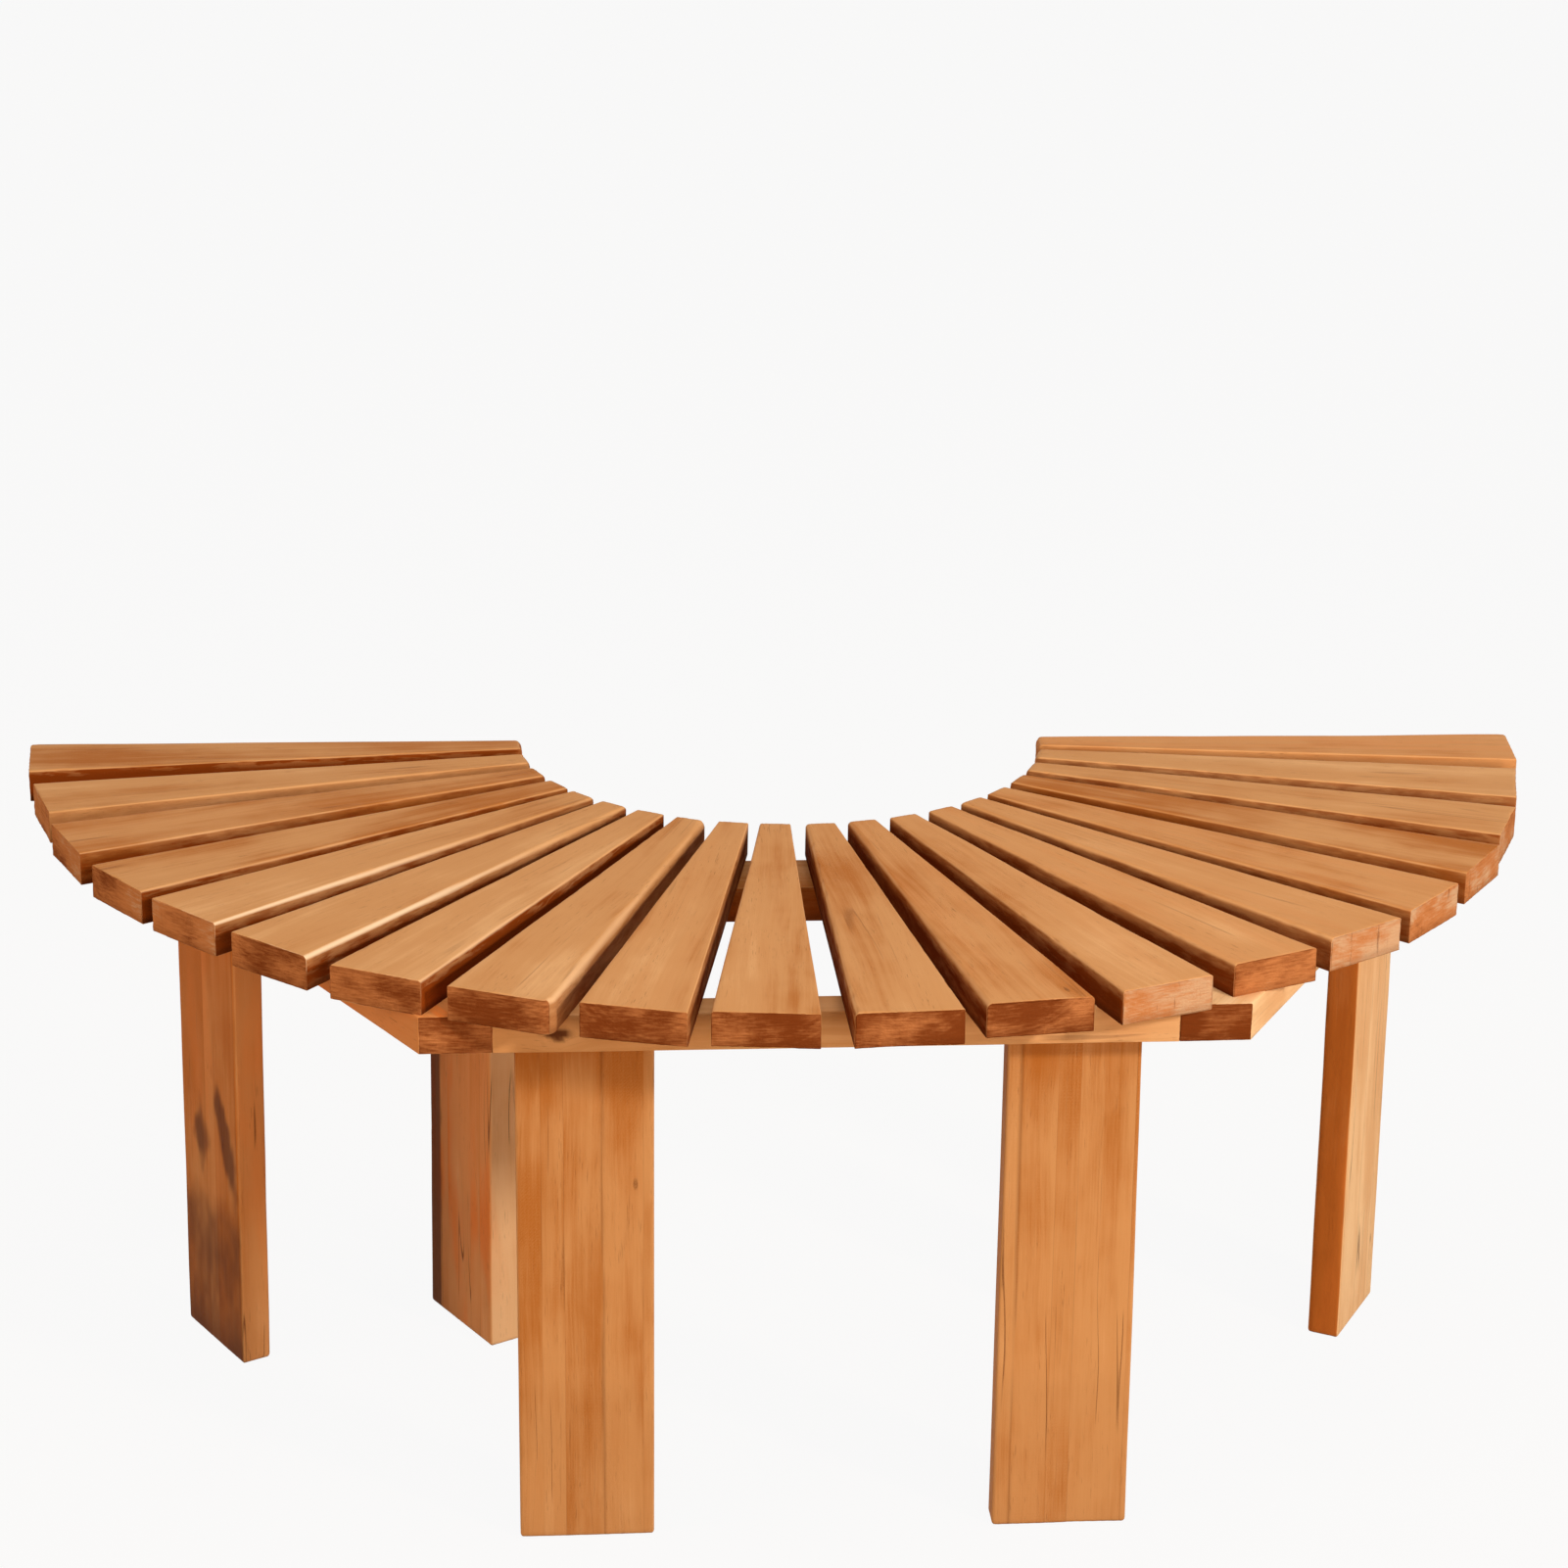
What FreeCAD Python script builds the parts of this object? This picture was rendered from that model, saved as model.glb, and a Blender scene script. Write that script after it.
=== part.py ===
import FreeCAD, Part
import math
import os

# A half-ring tree bench of hardwood boards. Tapered slats fan out around one half of a
# trunk. They lie on two half-hexagon frames of rails, one under their outer ends and one
# under their inner ends, and six plank legs stand between the two frames.
#
# Sizes are in millimetres. +Z is up and the floor is z = 0. The trunk stands on the +Y
# side and a person sits on the -Y side. While the pieces are made, the trunk's axis is
# x = y = 0; at the end everything moves together, so that the origin is the middle of
# the bench's footprint.
#
# A rail or a leg belongs to a bay. The front bay faces -Y, and the two side bays face
# bay_angle to its left and right. In a bay, reach is measured from the trunk's axis
# along the bay's facing, and run is measured along the rail.

# Seat
seat_height = 450.0
seat_radius = 605.0
trunk_radius = 214.0
slat_count = 20
slat_outer_width = 72.0
slat_inner_width = 23.0
slat_thickness = 24.0
slat_top_round = 4.0
slat_under_chamfer = 1.5
slat_end_chamfer = 1.5

# Rails
bay_angle = 60.0
rail_height = 28.0
front_overhang = 67.0
side_overhang = 83.0
inner_overhang = 16.0
front_rail_width = 28.0
side_rail_width = 44.0
inner_rail_width = 61.0
rail_back_gap = 14.0
rail_edge_chamfer = 1.5

# Legs
leg_width = 96.0
leg_thickness = 22.0
leg_edge_chamfer = 2.0
leg_foot_chamfer = 2.0
front_leg_inset = 34.0
side_leg_from_end = 139.0
inner_leg_from_end = 112.0
side_leg_housing = 20.0
housing_clearance = 0.3

# Slat screws, driven up through the rails
slat_screw_diameter = 4.0
slat_screw_head = 8.0
slat_screw_length = 45.0
outer_screw_inset = 12.0
inner_screw_inset = 15.0

# Leg screws, driven through the legs into the rails
leg_screw_diameter = 4.5
leg_screw_head = 9.0
leg_screw_length = 40.0
leg_screw_spacing = 64.0
screw_hole_clearance = 0.25
screw_point_length = 4.0
screw_tip_radius = 0.4

# Dowels in the four corners of the rail frames
dowel_diameter = 6.0
dowel_length = 40.0
dowel_spacing = 13.0

# Screws, dowels and their holes are drawn with this many sides, to keep the files light
round_sides = 8

# Places that follow from the sizes above
slat_pitch = 180.0 / slat_count
slat_bottom = seat_height - slat_thickness
rail_bottom = slat_bottom - rail_height
rail_middle = slat_bottom - rail_height / 2.0
front_reach = seat_radius - front_overhang
side_reach = seat_radius - side_overhang
inner_rail_inside = trunk_radius + inner_overhang
inner_rail_outside = inner_rail_inside + inner_rail_width
UP = FreeCAD.Vector(0, 0, 1)
LEFT, FRONT, RIGHT = -bay_angle, 0.0, bay_angle


def facing(angle):
    """Unit vector that points away from the trunk, angle degrees from -Y towards +X."""
    turn = math.radians(angle)
    return FreeCAD.Vector(math.sin(turn), -math.cos(turn), 0)


def along(angle):
    """Unit vector along a rail of the bay that faces angle, to the right seen from outside."""
    turn = math.radians(angle)
    return FreeCAD.Vector(math.cos(turn), math.sin(turn), 0)


def bay_point(angle, reach, run, height=0.0):
    """Point in a bay, given by its reach from the trunk, its run along the rail and its height."""
    return facing(angle) * reach + along(angle) * run + UP * height


def flat_face(corners):
    """Flat face with the given corners."""
    return Part.Face(Part.makePolygon(corners + corners[:1]))


def prism(corners, bottom, top):
    """Upright prism over a polygon of points, from one height to another."""
    outline = [FreeCAD.Vector(point.x, point.y, bottom) for point in corners]
    return flat_face(outline).extrude(UP * (top - bottom))


def edges_where(solid, test):
    """Edges whose two end points both pass the test."""
    return [edge for edge in solid.Edges if all(test(vertex.Point) for vertex in edge.Vertexes)]


def level(height):
    """Test for points at one height."""
    return lambda point: abs(point.z - height) < 1e-6


def edge_heading(edge):
    """Unit vector from an edge's first end to its last."""
    return (edge.Vertexes[-1].Point - edge.Vertexes[0].Point).normalize()


def slat_angle(number):
    """Direction of a slat's centre line. Slat 1 is at the far left, beside the trunk."""
    return -90.0 + slat_pitch * (number - 0.5)


def make_slat(number):
    """Tapered seat board with rounded top edges and eased under edges and ends."""
    angle = slat_angle(number)
    outer_half = slat_outer_width / 2.0
    inner_half = slat_inner_width / 2.0
    corners = [
        bay_point(angle, trunk_radius, -inner_half),
        bay_point(angle, trunk_radius, inner_half),
        bay_point(angle, seat_radius, outer_half),
        bay_point(angle, seat_radius, -outer_half),
    ]
    slat = prism(corners, slat_bottom, seat_height)

    def runs_outwards(edge):
        return abs(edge_heading(edge).dot(facing(angle))) > 0.9

    level_edges = [edge for edge in slat.Edges if abs(edge_heading(edge).z) < 0.1]
    ends = [edge for edge in level_edges if not runs_outwards(edge)]
    slat = slat.makeChamfer(slat_end_chamfer, ends)
    under = [edge for edge in edges_where(slat, level(slat_bottom)) if runs_outwards(edge)]
    slat = slat.makeChamfer(slat_under_chamfer, under)
    top = [edge for edge in edges_where(slat, level(seat_height)) if runs_outwards(edge)]
    return slat.makeFillet(slat_top_round, top)


def line_crossing(first_angle, first_reach, second_angle, second_reach):
    """Point where the face lines of two bays cross, each line given by facing and reach."""
    first = facing(first_angle)
    second = facing(second_angle)
    spread = first.x * second.y - first.y * second.x
    x = (first_reach * second.y - second_reach * first.y) / spread
    y = (first.x * second_reach - second.x * first_reach) / spread
    return FreeCAD.Vector(x, y, 0)


def back_crossing(angle, reach):
    """Point where a side bay's face line meets the straight back line of the bench."""
    side = facing(angle)
    y = -rail_back_gap
    return FreeCAD.Vector((reach - side.y * y) / side.x, y, 0)


def ease_under_edges(rail):
    """Chamfer along the long edges of a rail's underside."""
    ends = rail_height * 2.0
    under = [edge for edge in edges_where(rail, level(rail_bottom)) if edge.Length > ends]
    return rail.makeChamfer(rail_edge_chamfer, under)


def make_front_rail(outside, inside, side_inside):
    """Rail across the front bay, cut at its ends to butt against the two side rails."""
    corners = [
        line_crossing(FRONT, outside, LEFT, side_inside),
        line_crossing(FRONT, outside, RIGHT, side_inside),
        line_crossing(FRONT, inside, RIGHT, side_inside),
        line_crossing(FRONT, inside, LEFT, side_inside),
    ]
    return ease_under_edges(prism(corners, rail_bottom, slat_bottom))


def make_side_rail(angle, outside, inside, front):
    """Rail of a side bay, cut flush with the front rail's face and with the bench's back."""
    corners = [
        line_crossing(FRONT, front, angle, outside),
        line_crossing(FRONT, front, angle, inside),
        back_crossing(angle, inside),
        back_crossing(angle, outside),
    ]
    return ease_under_edges(prism(corners, rail_bottom, slat_bottom))


def board_in_bay(angle, near, far, middle, width, bottom, top):
    """Upright block in a bay, between two reaches and centred on a run."""
    half = width / 2.0
    corners = [
        bay_point(angle, near, middle - half),
        bay_point(angle, near, middle + half),
        bay_point(angle, far, middle + half),
        bay_point(angle, far, middle - half),
    ]
    return prism(corners, bottom, top)


def make_leg(angle, outer_face, middle):
    """Plank leg that runs from the floor to the underside of the slats."""
    leg = board_in_bay(
        angle, outer_face - leg_thickness, outer_face, middle, leg_width, 0.0, slat_bottom)
    leg = leg.makeChamfer(leg_foot_chamfer, edges_where(leg, level(0.0)))
    upright = [edge for edge in leg.Edges if abs(edge_heading(edge).z) > 0.9]
    return leg.makeChamfer(leg_edge_chamfer, upright)


def run_at_back(angle, reach):
    """Run, towards the back, at which a side bay's face line meets the bench's back."""
    end = back_crossing(angle, reach)
    return abs(end.dot(along(angle)))


def ring_of_points(radius, distance):
    """Corners of a many-sided circle about the Z axis."""
    turns = [2.0 * math.pi * side / round_sides for side in range(round_sides)]
    return [
        FreeCAD.Vector(radius * math.cos(turn), radius * math.sin(turn), distance)
        for turn in turns
    ]


def stepped_peg(sections, origin, direction):
    """Many-sided round peg. Sections are (radius, distance from the origin along direction)."""
    rings = [ring_of_points(radius, distance) for radius, distance in sections]
    faces = [flat_face(rings[0]), flat_face(rings[-1])]
    for low, high in zip(rings, rings[1:]):
        for side in range(round_sides):
            after = (side + 1) % round_sides
            faces.append(flat_face([low[side], low[after], high[after], high[side]]))
    peg = Part.Solid(Part.Shell(faces))
    if peg.Volume < 0:
        peg.reverse()
    peg.Placement = FreeCAD.Placement(origin, FreeCAD.Rotation(UP, direction))
    return peg


def make_screw(origin, direction, diameter, head, length):
    """Countersunk wood screw. Its flat head lies at the origin and it points along direction."""
    radius = diameter / 2.0
    head_radius = head / 2.0
    sections = [
        (head_radius, 0),
        (radius, head_radius - radius),
        (radius, length - screw_point_length),
        (screw_tip_radius, length),
    ]
    return stepped_peg(sections, origin, direction)


def make_screw_hole(origin, direction, diameter, head, depth):
    """Clearance hole with a countersink that the screw's head seats in."""
    radius = diameter / 2.0 + screw_hole_clearance
    head_radius = head / 2.0
    sections = [(head_radius, 0), (radius, head_radius - radius), (radius, depth)]
    return stepped_peg(sections, origin, direction)


def slat_screw_place(number, front_line, side_line):
    """Place under a slat's centre line where it crosses the screw line of a rail frame."""
    angle = slat_angle(number)
    if abs(angle) < bay_angle / 2.0:
        bay, line = FRONT, front_line
    else:
        bay, line = math.copysign(bay_angle, angle), side_line
    reach = line / math.cos(math.radians(angle - bay))
    return bay_point(angle, reach, 0.0, rail_bottom)


def leg_screw_places(angle, face, middle):
    """Places of the two screws of a leg, side by side at the middle of the rail's height."""
    half = leg_screw_spacing / 2.0
    return [bay_point(angle, face, middle + offset, rail_middle) for offset in (-half, half)]


def corner_dowels(side, side_inside, front_middle):
    """Two dowels, one above the other, across the joint of a side rail and a front rail."""
    joint = line_crossing(FRONT, front_middle, side, side_inside)
    heading = along(FRONT)
    start = joint - heading * (dowel_length / 2.0)
    dowels = []
    for rise in (-dowel_spacing / 2.0, dowel_spacing / 2.0):
        base = start + UP * (rail_middle + rise)
        ends = [(dowel_diameter / 2.0, 0), (dowel_diameter / 2.0, dowel_length)]
        dowels.append(stepped_peg(ends, base, heading))
    return dowels


def cut_all(solid, tools):
    """Solid with every tool that reaches it cut away."""
    near = [tool for tool in tools if tool.BoundBox.intersect(solid.BoundBox)]
    return solid.cut(near) if near else solid


# Slats, rails and the places of the legs
slat_numbers = range(1, slat_count + 1)
slats = {"slat_%02d" % number: make_slat(number) for number in slat_numbers}

front_back_face = front_reach - front_rail_width
side_inside = side_reach - side_rail_width
rails = {"outer_rail_front": make_front_rail(front_reach, front_back_face, side_inside)}
rails["inner_rail_front"] = make_front_rail(
    inner_rail_outside, inner_rail_inside, inner_rail_inside)
for name, side in (("left", LEFT), ("right", RIGHT)):
    rails["outer_rail_" + name] = make_side_rail(side, side_reach, side_inside, front_reach)
    rails["inner_rail_" + name] = make_side_rail(
        side, inner_rail_outside, inner_rail_inside, inner_rail_outside)

half_leg = leg_width / 2.0
front_rail_end = line_crossing(FRONT, front_back_face, RIGHT, side_inside).x
front_leg_middle = front_rail_end - front_leg_inset - half_leg
side_leg_middle = run_at_back(RIGHT, side_inside) - side_leg_from_end - half_leg
inner_leg_middle = run_at_back(RIGHT, inner_rail_outside) - inner_leg_from_end - half_leg
side_leg_face = side_inside + side_leg_housing
inner_leg_face = inner_rail_outside + leg_thickness

# Each leg: its bay, its outer face, the middle of its width, the face that its screws are
# driven from, and the way they point
leg_places = {}
for name, side in (("left", LEFT), ("right", RIGHT)):
    sign = math.copysign(1.0, side)
    leg_places["leg_front_" + name] = (
        FRONT, front_back_face, sign * front_leg_middle, front_back_face - leg_thickness, 1.0)
    leg_places["leg_side_" + name] = (
        side, side_leg_face, sign * side_leg_middle, side_leg_face - leg_thickness, 1.0)
    leg_places["leg_inner_" + name] = (
        side, inner_leg_face, sign * inner_leg_middle, inner_leg_face, -1.0)

# Screws and dowels
outer_lines = (front_reach - outer_screw_inset, side_reach - outer_screw_inset)
inner_line = inner_rail_inside + inner_screw_inset
slat_screw_size = (slat_screw_diameter, slat_screw_head)
leg_screw_size = (leg_screw_diameter, leg_screw_head)

fasteners = {
    "slat_screws_outer": [],
    "slat_screws_inner": [],
    "leg_screws_front": [],
    "leg_screws_side": [],
    "leg_screws_inner": [],
}
slat_screw_holes = []
for number in slat_numbers:
    for group, lines in (("outer", outer_lines), ("inner", (inner_line, inner_line))):
        place = slat_screw_place(number, *lines)
        screw = make_screw(place, UP, *slat_screw_size, slat_screw_length)
        fasteners["slat_screws_" + group].append(screw)
        slat_screw_holes.append(make_screw_hole(place, UP, *slat_screw_size, rail_height))
slat_screws = fasteners["slat_screws_outer"] + fasteners["slat_screws_inner"]

legs = {}
leg_screws = []
for name, (bay, outer_face, middle, screw_face, way) in leg_places.items():
    direction = facing(bay) * way
    holes = []
    for place in leg_screw_places(bay, screw_face, middle):
        screw = make_screw(place, direction, *leg_screw_size, leg_screw_length)
        fasteners["leg_screws_" + name.split("_")[1]].append(screw)
        leg_screws.append(screw)
        holes.append(make_screw_hole(place, direction, *leg_screw_size, leg_thickness))
    legs[name] = cut_all(make_leg(bay, outer_face, middle), holes)

fasteners["outer_corner_dowels"] = []
fasteners["inner_corner_dowels"] = []
for side in (LEFT, RIGHT):
    outer_middle = front_reach - front_rail_width / 2.0
    inner_middle = inner_rail_outside - inner_rail_width / 2.0
    fasteners["outer_corner_dowels"] += corner_dowels(side, side_inside, outer_middle)
    fasteners["inner_corner_dowels"] += corner_dowels(side, inner_rail_inside, inner_middle)
dowels = fasteners["outer_corner_dowels"] + fasteners["inner_corner_dowels"]

# Housings that the side legs stand in, cut from the inner faces of the outer side rails
housings = []
for name, (bay, outer_face, middle, screw_face, way) in leg_places.items():
    if name.startswith("leg_side"):
        width = leg_width + 2.0 * housing_clearance
        housings.append(board_in_bay(
            bay, screw_face, outer_face, middle, width, 0.0, slat_bottom))

# Holes: a screw cuts its own thread in the last piece that it reaches
slats = {name: cut_all(slat, slat_screws) for name, slat in slats.items()}
for name, rail in rails.items():
    tools = slat_screw_holes + leg_screws + dowels
    if name in ("outer_rail_left", "outer_rail_right"):
        tools = tools + housings
    rails[name] = cut_all(rail, tools)

pieces = {}
pieces.update(slats)
pieces.update(rails)
pieces.update(legs)
for name, group in fasteners.items():
    pieces[name] = Part.makeCompound(group)

# The origin is the middle of the footprint, on the floor
box = Part.makeCompound(list(pieces.values())).BoundBox
to_middle = FreeCAD.Vector(0, -(box.YMin + box.YMax) / 2.0, 0)

os.makedirs("parts", exist_ok=True)
for name, piece in pieces.items():
    piece.translate(to_middle)
    piece.exportStep("parts/%s.step" % name)

print("pieces", len(pieces))
print("trunk axis at y = %.2f" % to_middle.y)
print("size %.1f x %.1f x %.1f" % (box.XLength, box.YLength, box.ZLength))
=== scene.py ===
"""Looks of the tree bench: oiled boards with real edges, sawn ends, screws and a plain studio.

The boards stand where the solids of the frame say. Each board is a rounded section carried
along its length, closed by its two sawn ends, and carries its own wood coordinates, so the
grain runs along every board.
"""

import math

import bpy
import numpy as np
from mathutils import Matrix, Vector


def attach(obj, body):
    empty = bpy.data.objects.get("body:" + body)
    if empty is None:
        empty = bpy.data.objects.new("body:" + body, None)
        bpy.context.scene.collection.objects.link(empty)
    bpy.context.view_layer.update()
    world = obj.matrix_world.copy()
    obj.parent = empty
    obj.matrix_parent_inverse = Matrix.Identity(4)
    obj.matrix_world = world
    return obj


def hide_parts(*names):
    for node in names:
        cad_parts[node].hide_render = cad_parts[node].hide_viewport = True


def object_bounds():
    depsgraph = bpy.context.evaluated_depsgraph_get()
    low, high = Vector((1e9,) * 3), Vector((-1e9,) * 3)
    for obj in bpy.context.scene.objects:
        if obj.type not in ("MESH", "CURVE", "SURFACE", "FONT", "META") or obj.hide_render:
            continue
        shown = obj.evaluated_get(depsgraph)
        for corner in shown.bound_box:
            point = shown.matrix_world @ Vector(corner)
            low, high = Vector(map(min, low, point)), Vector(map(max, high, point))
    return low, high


bl_info = {
    "name": "Tree bench",
    "version": (1, 0, 0),
    "blender": (4, 5, 0),
    "location": "View3D > Sidebar > Bench",
    "description": "Half-ring bench of oiled boards around a tree",
    "category": "Object",
}

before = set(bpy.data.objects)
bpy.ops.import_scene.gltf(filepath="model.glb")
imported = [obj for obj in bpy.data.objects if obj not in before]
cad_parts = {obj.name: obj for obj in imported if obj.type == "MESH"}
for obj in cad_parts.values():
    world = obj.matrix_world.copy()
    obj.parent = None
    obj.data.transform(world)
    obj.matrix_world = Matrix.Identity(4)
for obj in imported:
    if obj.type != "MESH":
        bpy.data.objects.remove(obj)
CAD_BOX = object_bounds()

MM = 0.001

# Degrees between two bays of the half hexagon and between two slats of the fan
BAY_ANGLE = 60.0
SLAT_PITCH = 9.0
SIDES = {"left": -BAY_ANGLE, "front": 0.0, "right": BAY_ANGLE}

# One row for each slat, from the far left. The boards are laid and cut by hand, so each has
# the tone of its face (-1 dark, 1 light) and of its sawn end (-1 dark, 1 pale), how dark its
# narrow faces are from oil and from painted shade in the gaps, how much red there is in its
# wood, how strong the painted highlight on its lit right top edge is (0 to 1), its turn off
# the even fan in degrees, its extra width and extra length in millimetres, the slant of its
# end cut, and the radii of its left and right top edges in millimetres.
SLATS = (
    (-0.50, 0.20, 2.00, 0.00, 0.0, -1.60, 0.0, 7.7, -0.05, 2.0, 1.2),
    (-0.10, 0.20, 0.40, 0.00, 0.0, -0.80, 0.5, 0.5, -0.06, 1.5, 1.5),
    (-0.70, 0.25, 1.00, 0.05, 0.1, -0.25, 2.8, 1.0, -0.01, 1.5, 1.8),
    (-0.30, 0.10, 1.40, 0.00, 0.1, 0.33, 0.8, -0.5, -0.06, 1.5, 1.8),
    (0.00, 0.50, 1.00, 0.00, 0.9, -0.22, 1.3, -3.5, -0.04, 1.2, 3.0),
    (0.15, -0.25, 1.00, 0.00, 1.0, -0.12, 3.2, -1.0, 0.03, 1.2, 3.6),
    (0.20, -0.20, 1.50, 0.00, 0.3, 0.00, 0.8, 1.0, -0.06, 1.2, 2.0),
    (0.15, -0.30, 0.60, 0.00, 0.25, 0.07, 7.0, -0.5, 0.04, 1.2, 5.0),
    (-0.20, -0.45, 0.85, 0.05, 0.0, 0.11, 3.9, -1.0, 0.06, 1.2, 1.4),
    (-0.28, -0.55, 1.00, 0.03, 0.0, -0.30, 2.8, -2.0, 0.03, 1.6, 1.0),
    (-0.15, -0.60, 1.00, 0.03, 0.0, -0.01, 3.8, -0.5, 0.02, 2.6, 1.2),
    (-0.35, -0.40, 1.00, 0.10, 0.0, -0.20, 4.3, -2.5, 0.10, 3.5, 2.0),
    (0.20, 0.65, 1.10, 0.10, 0.0, -0.04, 0.8, 0.0, 0.01, 2.5, 2.0),
    (0.10, 0.00, 1.00, 0.15, 0.0, 0.25, -0.7, -4.0, 0.12, 3.0, 2.0),
    (0.00, 0.80, 0.90, 0.10, 0.0, 0.05, -0.2, -1.0, 0.12, 3.0, 2.5),
    (-0.40, 0.70, 0.90, 0.12, 0.0, -0.50, 3.2, 1.0, 0.00, 2.0, 2.0),
    (-0.90, 0.45, 0.80, 0.00, 0.0, -0.10, 3.2, -1.0, 0.04, 1.6, 2.0),
    (0.20, 0.50, 1.10, 0.00, 0.0, 0.00, 0.0, -3.0, 0.03, 1.4, 2.0),
    (0.35, 0.50, 0.90, 0.00, 0.0, 0.14, 3.5, -2.5, 0.02, 1.2, 2.0),
    (0.30, 0.50, 0.10, 0.25, 0.0, 0.04, -3.8, 2.5, 0.03, 1.2, 2.0),
)

# Places that stand out in the real boards, in metres: a dark knot on the front rail's face
# (along the rail, across it, up), and the radii in plan of slats' corners: near left, near
# right, far left and far right, seen outwards from the trunk.
FRONT_KNOT = (-0.2025, -0.014, 0.0)
PLAN_ROUNDS = {1: (0.0045, 0.0045, 0.006, 0.0), 8: (0.0045, 0.0045, 0.0, 0.010),
               20: (0.0045, 0.0045, 0.0, 0.006), "others": (0.0045, 0.0045, 0.0, 0.0)}

# How far each leg is off the even one, in millimetres: extra width at the foot and at the
# top, extra thickness, shift to the right and shift outwards, each at the foot and at the top.
LEG_SHAPES = {
    "leg_front_left": (2.4, 2.4, 0.0, 3.6, 3.6, 0.0, 0.0),
    "leg_front_right": (3.7, 0.0, 0.0, 1.8, 0.0, 0.0, 0.0),
    "leg_side_left": (3.3, 4.2, 2.6, 0.0, 3.0, -1.7, -6.0),
    "leg_side_right": (-5.0, -8.0, 4.0, 0.0, 0.0, 1.9, -1.2),
    "leg_inner_left": (3.3, 1.0, 5.8, 0.0, 0.0, -0.5, -5.5),
    "leg_inner_right": (0.0, 0.0, 0.0, 0.0, 0.0, 0.0, 0.0),
}

# Looks of each leg: tone of its wide faces and of its narrow ones, share of its dark marks, oil
# and painted shade in its narrow faces, and how much red there is in its wide faces and in its
# narrow ones. For the two left legs and the right side leg the two tones are partly painted
# light: faces turned to the key lamp at the right are lighter and those turned away darker.
LEG_LOOKS = {
    "leg_front_left": (-0.2, 0.0, 0.1, 0.1, 0.05, 0.2),
    "leg_front_right": (-0.3, 0.0, 0.1, 0.2, 0.05, 0.2),
    "leg_side_left": (-0.8, 0.3, 1.0, 0.0, 0.45, 0.65),
    "leg_side_right": (1.8, -1.6, 0.0, 0.3, 0.03, 0.7),
    "leg_inner_left": (0.9, 2.2, 0.9, 0.0, 1.3, 0.6),
    "leg_inner_right": (0.0, 0.0, 0.2, 0.0, 0.1, 0.2),
}

# The outer side rails lie a little off the even place, in millimetres outwards
RAIL_SHIFTS = {"outer_board_left": -4.8, "outer_board_right": 2.8}

# Screws in metres: head and shank diameter and length, how far the slat screws' lines lie
# from a rail's face, and the leg screws' places across a leg
SLAT_SCREW = (0.008, 0.004, 0.045)
LEG_SCREW = (0.009, 0.0045, 0.040)
OUTER_SCREW_INSET = 0.012
INNER_SCREW_INSET = 0.015
LEG_SCREW_OFFSETS = (-0.032, 0.032)

# How far a screw's face stands proud of the board in metres, and its recess's depth as a
# share of the head's diameter
SCREW_PROUD = 0.00025
RECESS_DEPTH = 0.22

# Edge radii in metres: a leg's long edges, its foot and its top, and a rail's long top edges
LEG_ROUND = 0.0018
LEG_FOOT_ROUND = 0.0035
LEG_TOP_ROUND = 0.0008
RAIL_TOP_ROUND = 0.0012

# The floor's half width in metres, and the share of plain white in what the camera sees of it
FLOOR_HALF = 14.0
FLOOR_WHITE = 0.93


def linear(hex_colour):
    """Linear RGB of an sRGB hex colour."""
    channels = [int(hex_colour[i:i + 2], 16) / 255.0 for i in (1, 3, 5)]
    return tuple(c / 12.92 if c <= 0.04045 else ((c + 0.055) / 1.055) ** 2.4 for c in channels)


# Sizes and colours


def length_property(name, description, default):
    """A length in metres that is given in millimetres."""
    return bpy.props.FloatProperty(
        name=name, description=description, default=default * MM, unit="LENGTH", min=0.0)


def power_property(name, description, default):
    """A lamp's power in watts."""
    return bpy.props.FloatProperty(
        name=name, description=description, default=default, unit="POWER")


def angle_property(name, description, degrees):
    """An angle in radians that is given in degrees."""
    return bpy.props.FloatProperty(
        name=name, description=description, default=math.radians(degrees), unit="ROTATION")


def colour_property(name, description, hex_colour):
    """A colour given as an sRGB hex value."""
    return bpy.props.FloatVectorProperty(
        name=name, description=description, default=linear(hex_colour), subtype="COLOR",
        size=3, min=0.0, max=1.0)


class BENCH_PG_sizes(bpy.types.PropertyGroup):
    """Sizes of the boards, the same as those of the frame."""

    seat_radius: length_property("Seat radius", "From the trunk's axis to a slat's end", 605)
    trunk_radius: length_property("Trunk radius", "Clear radius at the slats' inner ends", 214)
    slat_outer_width: length_property("Slat width outside", "Width of a slat's outer end", 72)
    slat_inner_width: length_property("Slat width inside", "Width of a slat's inner end", 23)
    slat_thickness: length_property("Slat thickness", "Thickness of the seat boards", 24)
    rail_height: length_property("Rail height", "Height of the rails under the slats", 28)
    front_reach: length_property("Front rail reach", "Trunk axis to front rail's face", 538)
    front_width: length_property("Front rail width", "Width of the front outer rail", 28)
    side_reach: length_property("Side rail reach", "Trunk axis to a side rail's face", 522)
    side_width: length_property("Side rail width", "Width of the side outer rails", 44)
    inner_reach: length_property("Inner rail reach", "Trunk axis to inner rail's face", 291)
    inner_width: length_property("Inner rail width", "Width of the inner rails", 61)
    back_gap: length_property("Back gap", "From the trunk's axis line to the rails' ends", 14)
    leg_width: length_property("Leg width", "Width of a plank leg", 96)
    leg_thickness: length_property("Leg thickness", "Thickness of a plank leg", 22)
    front_leg_run: length_property("Front leg place", "Middle of a front leg", 175.5)
    front_leg_reach: length_property("Front leg reach", "Outer face of a front leg", 510)
    side_leg_run: length_property("Side leg place", "Middle of a side leg", 72.8)
    side_leg_reach: length_property("Side leg reach", "Outer face of a side leg", 498)
    inner_leg_run: length_property("Inner leg place", "Middle of an inner leg", 8.2)
    inner_leg_reach: length_property("Inner leg reach", "Outer face of an inner leg", 313)


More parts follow.
